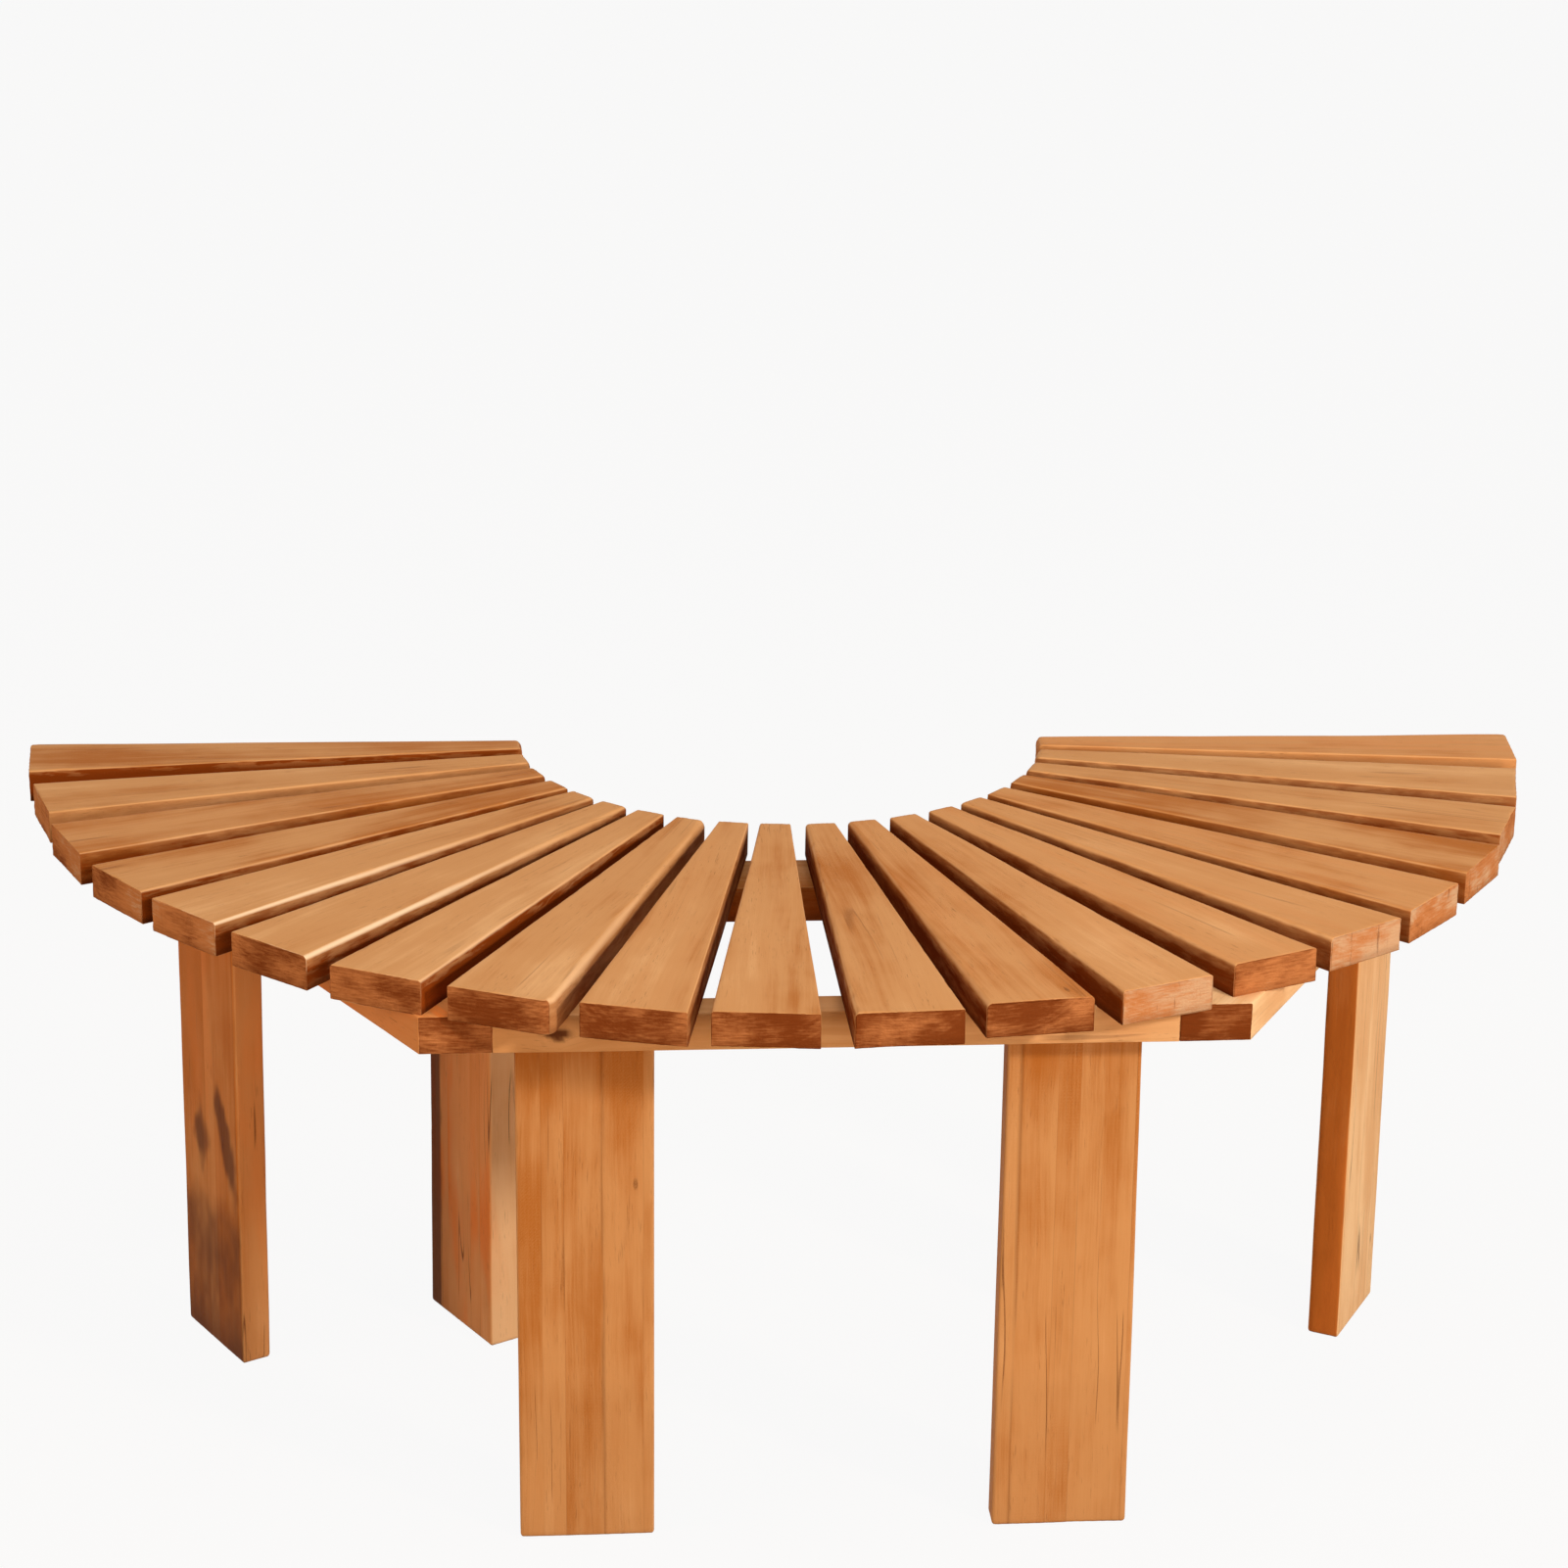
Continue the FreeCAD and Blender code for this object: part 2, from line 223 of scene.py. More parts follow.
class BENCH_PG_wear(bpy.types.PropertyGroup):
    """How far planing, sanding and wear have changed the boards' edges and faces."""

    swelling: length_property("Swelling", "How far a slat's two faces stand out, damp", 0.9)
    under_round: length_property("Under edge round", "Radius of the long under edges", 0.5)
    end_round: length_property("End edge round", "Radius of the edges at a sawn end", 0.8)
    inner_end_round: length_property("Inner end round", "Radius over a slat's inner end", 5.0)
    waviness: length_property("Waviness", "Depth of the waves that hand planing leaves", 0.35)
    nick_depth: length_property("Nick depth", "Depth of the dents along an edge", 0.9)
    saw_depth: length_property("Saw depth", "Depth of the saw marks on a sawn end", 0.35)


class BENCH_PG_colours(bpy.types.PropertyGroup):
    """Colours of the oiled wood and of the fasteners."""

    straw: colour_property("Straw", "Palest face grain", "#f8cc98")
    # Bare is the colour of a painted highlight on the lit right top edges of some slats
    bare: colour_property("Bare", "Edges planed after oiling", "#f3cfa6")
    honey: colour_property("Honey", "Light oiled face grain", "#e3ab74")
    amber: colour_property("Amber", "Usual oiled face grain", "#cf925a")
    russet: colour_property("Russet", "Darker bands and blotches of face grain", "#b06526")
    flame: colour_property("Flame", "Orange bands and patches in the grain", "#ee8239")
    # Soaked darkens the narrow faces partly for their oil and partly as painted shade in the gaps
    # and under the seat
    soaked: colour_property("Soaked", "Sawn narrow faces, dark with oil", "#853a0c")
    umber: colour_property("Umber", "Pores, checks and small knots", "#55270d")
    end_grain: colour_property("End grain", "Sawn ends, where the oil has soaked in", "#c57b47")
    end_dark: colour_property("Dark end grain", "Late wood of a sawn end", "#7a3914")
    end_pale: colour_property("Pale end grain", "Places of an end that took little oil", "#d1a57e")
    zinc: colour_property("Zinc", "Bright zinc-plated steel", "#c4c4c0")
    beech: colour_property("Beech", "Dowel rod", "#d9b389")
    floor: colour_property("Floor", "Plain floor of matt board", "#b09a80")
    backdrop: colour_property("Backdrop", "White that the camera sees behind the bench", "#ffffff")


class BENCH_PG_stage(bpy.types.PropertyGroup):
    """Camera, lamps and floor."""

    camera_place: bpy.props.FloatVectorProperty(
        name="Camera place", description="Where the camera stands", subtype="TRANSLATION",
        default=(-0.21005, -2.57452, 1.38845), size=3)
    camera_yaw: angle_property("Yaw", "Turn to the right, away from straight ahead", 4.2587)
    camera_pitch: angle_property("Pitch", "Turn downwards", 18.7222)
    camera_roll: angle_property("Roll", "Turn about the line of sight", 0.6733)
    camera_lens: bpy.props.FloatProperty(
        name="Lens", description="Focal length in millimetres on a 36 mm sensor", default=83.85)
    key_power: power_property("Key lamp", "Power of the softbox at the right", 70.0)
    fill_power: power_property("Fill lamp", "Power of the wide lamp at the left", 37.0)
    front_power: power_property("Front lamp", "Power of the low lamp in front", 38.0)
    top_power: power_property("Top lamp", "Power of the softbox overhead", 31.0)
    world_level: bpy.props.FloatProperty(
        name="World", description="Level of the even light from all round", default=0.18,
        min=0.0, max=1.0)


# Noise as whole arrays


def cell_value(cells, seed):
    """One fixed number from -1 to 1 for each integer cell, from a hash of its three indices."""
    i, j, k = (cells[..., axis].astype(np.int64) for axis in range(3))
    mixed = (i * 73856093) ^ (j * 19349663) ^ (k * 83492791) ^ (seed * 2654435761)
    mixed = (mixed ^ (mixed >> 13)) * 1274126177
    return ((mixed ^ (mixed >> 16)) & 0xFFFFFF) / float(0x7FFFFF) - 1.0


def soft_noise(points, seed):
    """Smooth noise from -1 to 1: cell values blended by the cubic 3t^2 - 2t^3 on each axis."""
    base = np.floor(points)
    part = points - base
    part = part * part * (3.0 - 2.0 * part)
    total = np.zeros(points.shape[:-1])
    for corner in range(8):
        step = np.array([corner & 1, (corner >> 1) & 1, corner >> 2])
        share = np.prod(np.where(step, part, 1.0 - part), axis=-1)
        total += share * cell_value(base + step, seed)
    return total


# Boards


def ring_layout(flat_across, flat_up, arc):
    """Points round a rounded rectangle, side by side: top, right, bottom and left.

    A side runs from the middle of one corner arc to the middle of the next. For each point
    it gives the place of its arc's centre (-1 to 1 across and up), its outward direction and
    the share of each corner's radius that it takes."""
    centre, outward, corner_share = [], [], []
    for side, flats in enumerate((flat_across, flat_up, flat_across, flat_up)):
        middle = math.radians(90.0 - 90.0 * side)
        lead = middle + np.linspace(math.pi / 4, 0.0, arc, endpoint=False)
        tail = middle - np.linspace(0.0, math.pi / 4, arc, endpoint=False)[1:]
        angle = np.concatenate([lead, np.full(flats, middle), tail])
        place = np.concatenate([np.full(arc, -1.0), np.linspace(-1, 1, flats),
                                np.full(arc - 1, 1.0)])
        ahead = np.array([math.sin(middle), -math.cos(middle)])
        out = np.array([math.cos(middle), math.sin(middle)])
        centre.append(place[:, None] * ahead + out)
        outward.append(np.stack([np.cos(angle), np.sin(angle)], axis=1))
        share = np.zeros((len(place), 4))
        share[:, side] = (1.0 - place) / 2.0
        share[:, (side + 1) % 4] = (1.0 + place) / 2.0
        corner_share.append(share)
    outward = np.concatenate(outward)
    outward[np.abs(outward) < 1e-9] = 0.0
    return np.concatenate(centre), outward, np.concatenate(corner_share)


def cap_patch(ring, across, up):
    """Flat patch that fills a ring: the sum of the two straight blends between opposite
    sides, less the blend of the four corners. Gives a grid with the ring as its border."""
    count = 2 * (across + up) - 4
    order = np.arange(count + 1) % count
    top = ring[order[:across]]
    right = ring[order[across - 1:across + up - 1]]
    bottom = ring[order[across + up - 2:2 * across + up - 2]][::-1]
    left = ring[order[2 * across + up - 3:count + 1]][::-1]
    u = (np.abs(top[:, 1] - top[0, 1]) / np.abs(top[-1, 1] - top[0, 1]))[None, :, None]
    v = (np.abs(right[:, 2] - right[0, 2]) / np.abs(right[-1, 2] - right[0, 2]))[:, None, None]
    straight = (1 - v) * top[None] + v * bottom[None] + (1 - u) * left[:, None] + u * right[:, None]
    corners = ((1 - v) * ((1 - u) * top[0] + u * top[-1])
               + v * ((1 - u) * bottom[0] + u * bottom[-1]))
    return straight - corners


def cap_indices(start, inner_start, across, up):
    """Vertex numbers of a cap's grid: its border is the ring that starts at start, and its
    inside is new points from inner_start."""
    count = 2 * (across + up) - 4
    order = start + np.arange(count + 1) % count
    grid = np.empty((up, across), int)
    grid[0] = order[:across]
    grid[:, -1] = order[across - 1:across + up - 1]
    grid[-1] = order[across + up - 2:2 * across + up - 2][::-1]
    grid[:, 0] = order[2 * across + up - 3:count + 1][::-1]
    grid[1:-1, 1:-1] = inner_start + np.arange((across - 2) * (up - 2)).reshape(up - 2, across - 2)
    return grid


def quads(grid, flip=False):
    """Four-cornered faces of a grid of vertex numbers."""
    corners = [grid[:-1, :-1], grid[1:, :-1], grid[1:, 1:], grid[:-1, 1:]]
    faces = np.stack([c.ravel() for c in corners], axis=1)
    return faces[:, ::-1] if flip else faces


def smooth_step(value, low, high):
    """0 below low, 1 above high and a smooth rise between them."""
    t = np.clip((value - low) / (high - low), 0.0, 1.0)
    return t * t * (3.0 - 2.0 * t)


def board_surface(ends, widths, thickness, rounds, end_rounds, wear, seed, grid=0.0027,
                  saw=1.0, nicks=1.0, planed=0.3, plan_rounds=()):
    """Closed surface of one board in its own coordinates: x along it, y across, z up.

    ends holds the two end lines as (x, slope), so an end may be cut at a slant: an end point
    lies at x + slope * y. widths are the widths at the two ends. rounds are the radii of the
    four long edges, top left, top right, bottom right and bottom left, seen along +x.
    end_rounds holds, for each end, the radii over its top, side and bottom edges. planed is
    0 for round long edges and 1 for flat ones, as a plane leaves them. plan_rounds are the
    radii in plan of the corners at the first end at -y and +y and at the last end at -y and
    +y, and 0 for none.

    A section is a rectangle with rounded corners. Near an end it draws in by r(1 - sin a)
    while x runs by r(1 - cos a), a quarter circle, and a flat patch closes it. Every point
    then moves along its normal by soft noise: long waves, dents on the edges, saw marks."""
    length = ends[1][0] - ends[0][0]
    flat_across = max(4, int(max(widths) / grid))
    flat_up = max(4, int(thickness / grid))
    arc = 4
    centre, outward, share = ring_layout(flat_across, flat_up, arc)
    across, up = flat_across + 2 * arc, flat_up + 2 * arc

    turn = np.linspace(0.0, math.pi / 2, 5)
    stations = np.linspace(0.0, 1.0, max(8, int(length / grid)))
    rows = len(turn) - 1 + len(stations) + len(turn) - 1
    lead = np.concatenate([turn[:-1], np.full(len(stations) + len(turn) - 1, math.pi / 2)])
    tail = lead[::-1]
    rise = np.where(outward[:, 1] > 0, outward[:, 1], 0.0)
    drop = np.where(outward[:, 1] < 0, -outward[:, 1], 0.0)

    def end_radius(radii):
        top, side, bottom = radii
        return side + (top - side) * rise + (bottom - side) * drop

    radius_0, radius_1 = end_radius(end_rounds[0]), end_radius(end_rounds[1])
    run_0 = radius_0 * (1 - np.cos(lead))[:, None]
    run_1 = radius_1 * (1 - np.cos(tail))[:, None]
    t = np.concatenate([np.zeros(len(turn) - 1), stations, np.ones(len(turn) - 1)])[:, None]
    x = run_0 + (length - run_0 - run_1) * t
    half_width = (widths[0] + (widths[1] - widths[0]) * x / length) / 2.0

    in_side = (end_rounds[0][1] * (1 - np.sin(lead)) + end_rounds[1][1] * (1 - np.sin(tail)))
    in_top = (end_rounds[0][0] * (1 - np.sin(lead)) + end_rounds[1][0] * (1 - np.sin(tail)))
    in_bottom = (end_rounds[0][2] * (1 - np.sin(lead)) + end_rounds[1][2] * (1 - np.sin(tail)))
    height_share = (centre[:, 1] + 1.0) / 2.0
    inset_z = in_top[:, None] * height_share + in_bottom[:, None] * (1 - height_share)
    inset_y = in_side[:, None]

    samples = np.stack([x * 22.0, x * 0 + seed, centre[:, 0] * 0.7 + centre[:, 1] * 0.4 + x * 0],
                       axis=-1)
    corner = (share @ np.array(rounds)) * (1.0 + 0.28 * soft_noise(samples, seed + 5))
    corner = np.maximum(corner - np.maximum(inset_y, inset_z) * 0.8, 0.00025)
    slope = np.where(centre < 0, -1.0, 1.0) * math.sqrt(0.5)
    bulge = planed * corner * ((outward * slope).sum(axis=1) - math.sqrt(0.5))
    y = (centre[:, 0] * (half_width - inset_y - corner) + corner * outward[:, 0]
         - bulge * slope[:, 0])
    z = ((thickness / 2.0 - inset_z - corner) * centre[:, 1] + corner * outward[:, 1]
         - bulge * slope[:, 1])
    facing_end = np.cos(tail) - np.cos(lead)
    normal = np.stack([facing_end[:, None] + 0 * x,
                       np.sqrt(1 - facing_end ** 2)[:, None] * outward[:, 0] + 0 * x,
                       np.sqrt(1 - facing_end ** 2)[:, None] * outward[:, 1] + 0 * x], axis=-1)
    body = np.stack([x, y, z], axis=-1)
    edge = np.maximum(2 * np.abs(outward[:, 0] * outward[:, 1]) + 0 * x,
                      (np.abs(np.sin(2 * np.arcsin(np.abs(facing_end)))))[:, None] + 0 * x)
    end = np.abs(facing_end)[:, None] + 0 * x
    flank = smooth_step(np.abs(outward[:, 0]), 0.7, 1.0) + 0 * x

    ring = len(outward)
    cap_0 = cap_patch(body[0], across, up)[1:-1, 1:-1].reshape(-1, 3)
    cap_1 = cap_patch(body[-1], across, up)[1:-1, 1:-1].reshape(-1, 3)
    caps = len(cap_0)
    points = np.concatenate([body.reshape(-1, 3), cap_0, cap_1])
    normals = np.concatenate([normal.reshape(-1, 3), np.tile([-1.0, 0, 0], (caps, 1)),
                              np.tile([1.0, 0, 0], (caps, 1))])
    edge = np.concatenate([edge.ravel(), np.zeros(2 * caps)])
    end = np.concatenate([end.ravel(), np.ones(2 * caps)])
    flank = np.concatenate([flank.ravel(), np.zeros(2 * caps)])

    numbers = np.arange(rows * ring).reshape(rows, ring)
    around = np.concatenate([numbers, numbers[:, :1]], axis=1)
    faces = [quads(around, flip=True),
             quads(cap_indices(0, rows * ring, across, up), flip=True),
             quads(cap_indices((rows - 1) * ring, rows * ring + caps, across, up))]

    place = points.copy()
    place[:, 0] -= length / 2.0
    shift = np.array([seed * 3.17, seed * 1.73, seed * 2.39])
    waves = soft_noise(place * (9.0, 22.0, 22.0) + shift, seed)
    dents = smooth_step(soft_noise(place * (75.0, 60.0, 60.0) + shift, seed + 1), 0.35, 0.95)
    torn = soft_noise(place * (300.0, 330.0, 700.0) + shift, seed + 2)
    kerf = np.sin(place[:, 1] * 1500.0 + place[:, 2] * 2600.0
                  + 5.0 * soft_noise(place * (60.0, 60.0, 60.0), seed + 3))
    move = (wear.waviness * waves - wear.nick_depth * nicks * dents * edge
            + saw * wear.saw_depth * end * (0.55 * torn + 0.25 * kerf))
    points = points + normals * move[:, None]

    for corner_number, radius in enumerate(plan_rounds):
        if radius:
            # The corner's square is drawn onto a quarter disc: each point keeps its share of
            # the way from the disc's centre
            last, side = corner_number // 2, 2.0 * (corner_number % 2) - 1.0
            out = points[:, 0] - length if last else -points[:, 0]
            u = out / radius + 1.0
            v = (points[:, 1] * side - widths[last] / 2.0) / radius + 1.0
            inside = (u > 0.0) & (v > 0.0)
            shrink = np.where(inside, np.maximum(u, v) / np.maximum(np.hypot(u, v), 1e-9), 1.0)
            points[:, 0] += (2 * last - 1) * np.where(inside, u * (shrink - 1.0), 0.0) * radius
            points[:, 1] += np.where(inside, v * (shrink - 1.0), 0.0) * radius * side

    along = points[:, 0] / length
    skew = ends[0][1] * (1 - along) + ends[1][1] * along
    points[:, 0] += ends[0][0] + skew * points[:, 1]
    masks = {"place": place, "end": end, "edge": edge, "flank": flank}
    return points, np.concatenate(faces), masks


def make_mesh(name, parts):
    """One mesh of one or more surfaces. Each part is (points in metres in the frame, faces,
    attributes by name), and its attributes are written for each point."""
    points = np.concatenate([part[0] for part in parts])
    counts = np.cumsum([0] + [len(part[0]) for part in parts])
    faces = np.concatenate([part[1] + start for part, start in zip(parts, counts)])
    mesh = bpy.data.meshes.new(name)
    mesh.from_pydata(points.tolist(), [], faces.tolist())
    for key in parts[0][2]:
        values = np.concatenate([part[2][key] for part in parts])
        kind = "FLOAT_VECTOR" if values.ndim == 2 else "FLOAT"
        layer = mesh.attributes.new(key, kind, "POINT")
        layer.data.foreach_set("vector" if values.ndim == 2 else "value",
                               values.astype(np.float32).ravel())
    mesh.polygons.foreach_set("use_smooth", np.ones(len(mesh.polygons), bool))
    mesh.update()
    return mesh


def add_piece(name, mesh, material, nodes):
    """Piece of the bench that stands for CAD nodes, fixed to the bench's one body."""
    piece = bpy.data.objects.new(name, mesh)
    bpy.context.scene.collection.objects.link(piece)
    mesh.materials.append(material)
    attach(piece, "root")
    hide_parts(*nodes)
    return piece


def trunk_axis():
    """Y of the trunk's axis. The bench's back edge is the inner corner of the first slat."""
    sizes = bpy.context.scene.bench_sizes
    half_pitch = math.radians(SLAT_PITCH / 2.0)
    corner = (sizes.trunk_radius * math.sin(half_pitch)
              - sizes.slat_inner_width / 2.0 * math.cos(half_pitch))
    return CAD_BOX[1][1] + corner


def facing(angle):
    """Unit vector away from the trunk, angle degrees from -Y towards +X."""
    turn = math.radians(angle)
    return np.array([math.sin(turn), -math.cos(turn), 0.0])


def beside(angle):
    """Unit vector along a rail of the bay that faces angle, to the right from outside."""
    turn = math.radians(angle)
    return np.array([math.cos(turn), math.sin(turn), 0.0])


def slat_angle(number):
    """Bearing in degrees of a slat's centre line in the even fan, from slat 1 at the left."""
    return -90.0 + SLAT_PITCH * (number - 0.5)


UP = np.array([0.0, 0.0, 1.0])


def set_down(points, origin, along, across, up):
    """Own coordinates to the frame's: origin plus x, y and z times the three directions."""
    base = np.array([0.0, trunk_axis(), 0.0]) + origin
    return base + points @ np.stack([along, across, up])


def board_part(surface, origin, along, across, up, **numbers):
    """A board's surface in its place, with its masks and what is its own: one number for the
    whole board, or one for each point."""
    points, faces, masks = surface
    own = {key: np.zeros(len(points))
           for key in ("stain", "soak", "knot", "redness", "bare")}
    own.update({key: np.zeros(len(points)) + value for key, value in numbers.items()})
    return set_down(points, origin, along, across, up), faces, {**masks, **own}


# Materials


MATH = "ShaderNodeMath"
VECTOR = "ShaderNodeVectorMath"
MIX = "ShaderNodeMix"
RANGE = "ShaderNodeMapRange"
NOISE = "ShaderNodeTexNoise"
STRETCH = "ShaderNodeMapping"
ATTRIBUTE = "ShaderNodeAttribute"


def add(tree, kind, inputs=None, output=0, **settings):
    """Add a node, set its settings, and set or link its inputs. Gives one of its outputs."""
    node = tree.nodes.new(kind)
    for key, value in settings.items():
        setattr(node, key, value)
    for key, value in (inputs or {}).items():
        if isinstance(value, bpy.types.NodeSocket):
            tree.links.new(value, node.inputs[key])
        else:
            node.inputs[key].default_value = value
    return node.outputs[output] if node.outputs else None


def new_material(name):
    """Material with an empty tree."""
    material = bpy.data.materials.new(name)
    material.use_nodes = True
    material.node_tree.nodes.clear()
    return material, material.node_tree


def opaque(colour):
    """Colour with full alpha."""
    return (*colour, 1.0)


def oiled_hardwood(name, stave_width=0.0):
    """Oiled hardwood, planed and sanded by hand.

    Planed faces show fine streaks along the board, slow honey and russet bands, orange
    patches, short dark pores and a few thin checks and pin knots. The sawn ends drink more
    oil, so they are a darker red brown, blotched, with faint growth rings and saw marks, and
    rubbed edges are paler. Painted shade darkens the narrow faces low down and draws a dark line
    along their bottom edge and along the foot of each sawn end, and a painted highlight pales the
    lit right top edges of some slats. A board with staves is glued up from strips whose tones
    differ a little."""
    colours = bpy.context.scene.bench_colours
    material, tree = new_material(name)
    # An attribute named flame read as 0, so the orange's share is redness
    own = {key: add(tree, ATTRIBUTE, output="Fac", attribute_name=key)
           for key in ("board", "tone", "end", "edge", "flank", "end_tone", "stain", "soak",
                       "knot", "redness", "bare")}
    place = add(tree, ATTRIBUTE, output="Vector", attribute_name="place")
    sideways = add(tree, "ShaderNodeSeparateXYZ", {0: place}, output="Y")
    upwards = add(tree, "ShaderNodeSeparateXYZ", {0: place}, output="Z")

    # Each board, and each stave of a glued-up board, is cut from another piece of wood.
    # Staves differ in width: a wave is added to the even count across the board.
    piece, spread = own["board"], 0.2
    if stave_width:
        phase = add(tree, MATH, {0: own["board"], 1: 7.3}, operation="MULTIPLY")
        wave = add(tree, MATH, {0: sideways, 1: 2.6 / stave_width, 2: phase},
                   operation="MULTIPLY_ADD")
        wave = add(tree, MATH, {0: wave}, operation="SINE")
        strip = add(tree, MATH, {0: sideways, 1: 1.0 / stave_width, 2: 0.5},
                    operation="MULTIPLY_ADD")
        strip = add(tree, MATH, {0: wave, 1: 0.3, 2: strip}, operation="MULTIPLY_ADD")
        number = add(tree, MATH, {0: strip}, operation="FLOOR")
        piece = add(tree, MATH, {0: own["board"], 1: 17.0, 2: number}, operation="MULTIPLY_ADD")
        joint = add(tree, MATH, {0: strip}, operation="FRACT")
        joint = add(tree, MATH, {0: joint, 1: 0.5}, operation="SUBTRACT")
        joint = add(tree, MATH, {0: joint}, operation="ABSOLUTE")
        spread = 0.45
    chance = add(tree, "ShaderNodeTexWhiteNoise", {"W": piece}, output="Value",
                 noise_dimensions="1D")
    draw = add(tree, "ShaderNodeTexWhiteNoise", {"W": piece}, output="Color",
               noise_dimensions="1D")
    offset = add(tree, VECTOR, {0: draw, 1: (40.0, 40.0, 40.0)}, operation="MULTIPLY")
    wood = add(tree, VECTOR, {0: place, 1: offset}, operation="ADD")

    # Grain wanders sideways by a few millimetres over a hand's length
    wander = add(tree, STRETCH, {"Vector": wood, "Scale": (5.0, 9.0, 9.0)})
    wander = add(tree, NOISE, {"Vector": wander, "Scale": 1.0, "Detail": 1.0}, "Color")
    wander = add(tree, VECTOR, {0: wander, 1: (0.5, 0.5, 0.5)}, operation="SUBTRACT")
    wander = add(tree, VECTOR, {0: wander, 1: (0.0, 0.014, 0.014)}, operation="MULTIPLY")
    wood = add(tree, VECTOR, {0: wood, 1: wander}, operation="ADD")

    # Noises along the grain: how many cells to a metre each way, detail and roughness.
    # Real pores are 0.2 mm wide and 3 mm long; they are drawn 0.7 mm wide so that they show.
    noises = {}
    for key, scale, detail, roughness in (
            ("band", (3.5, 26.0, 26.0), 2.0, 0.55),
            ("cloud", (9.0, 14.0, 14.0), 3.0, 0.6),
            ("streak", (6.0, 190.0, 190.0), 3.0, 0.6),
            ("hair", (18.0, 900.0, 900.0), 2.0, 0.6),
            ("pore", (70.0, 1500.0, 1500.0), 1.0, 0.5),
            ("pore_place", (12.0, 60.0, 60.0), 1.0, 0.5),
            ("check", (1.2, 60.0, 60.0), 1.0, 0.5),
            ("check_place", (9.0, 24.0, 24.0), 1.0, 0.5),
            ("spill", (11.0, 26.0, 26.0), 3.0, 0.6),
            ("saw", (32.0, 60.0, 170.0), 3.0, 0.65),
            ("rub", (25.0, 60.0, 60.0), 2.0, 0.5),
            ("glue", (9.0, 40.0, 40.0), 1.0, 0.5),
            ("flame", (5.0, 24.0, 24.0) if stave_width else (5.0, 60.0, 40.0), 2.0, 0.55),
            ("blotch", (30.0, 24.0, 34.0), 2.0, 0.5),
            ("speck", (300.0, 330.0, 330.0), 2.0, 0.6),
            ("crack", (20.0, 210.0, 26.0), 2.0, 0.6)):
        stretched = add(tree, STRETCH, {"Vector": wood, "Scale": scale})
        noises[key] = add(tree, NOISE, {"Vector": stretched, "Scale": 1.0, "Detail": detail,
                                        "Roughness": roughness}, "Fac")
    centre = add(tree, MATH, {0: noises["check"], 1: 0.5}, operation="SUBTRACT")
    noises["check"] = add(tree, MATH, {0: centre}, operation="ABSOLUTE")
    pins = add(tree, STRETCH, {"Vector": wood, "Scale": (11.0, 30.0, 30.0)})
    noises["pin"] = add(tree, "ShaderNodeTexVoronoi", {"Vector": pins, "Scale": 1.0},
                        "Distance")
    rare = add(tree, "ShaderNodeTexVoronoi", {"Vector": pins, "Scale": 1.0}, "Color")
    noises["rare"] = add(tree, "ShaderNodeSeparateColor", {0: rare})
    noises["height"] = upwards
    if stave_width:
        noises["joint"] = joint

    # Soft steps from 0 at the first value to 1 at the second
    steps = {}
    for key, source, low, high in (
            ("pore", "pore", 0.64, 0.76), ("pore_place", "pore_place", 0.42, 0.62),
            ("check", "check", 0.012, 0.0), ("check_place", "check_place", 0.55, 0.64),
            ("spill", "spill", 0.50, 0.64), ("saw", "saw", 0.40, 0.62),
            ("rub", "rub", 0.30, 0.70), ("glue", "glue", 0.40, 0.58),
            ("pin", "pin", 0.07, 0.02), ("rare", "rare", 0.86, 0.87),
            # low and base are heights for painted shade: low down on a narrow face and along a
            # board's bottom edge
            ("low", "height", 0.009, 0.002), ("base", "height", -0.005, -0.011),
            ("crack", "crack", 0.64, 0.72), ("flame", "flame", 0.47, 0.62),
            ("joint", "joint", 0.478, 0.499)):
        if source in noises:
            steps[key] = add(tree, RANGE, {"Value": noises[source], "From Min": low,
                                           "From Max": high},
                             interpolation_type="SMOOTHSTEP")

    # Tone of the face: the sum of the noises' departures from their middle
    level = add(tree, MATH, {0: own["tone"], 1: 0.55, 2: -(1.5 + 1.3 + 0.7 + 0.35 + spread) / 2},
                operation="MULTIPLY_ADD")
    for part, weight in ((noises["band"], 1.5), (noises["cloud"], 1.3), (noises["streak"], 0.7),
                         (noises["hair"], 0.35), (chance, spread)):
        level = add(tree, MATH, {0: part, 1: weight, 2: level}, operation="MULTIPLY_ADD")
    face = opaque(colours.russet)
    for low, high, colour in ((-0.75, 0.05, colours.amber), (0.05, 0.8, colours.honey),
                              (0.7, 1.4, colours.straw)):
        share = add(tree, RANGE, {"Value": level, "From Min": low, "From Max": high},
                    interpolation_type="SMOOTHSTEP")
        face = add(tree, MIX, {0: share, 6: face, 7: opaque(colour)}, 2, data_type="RGBA")
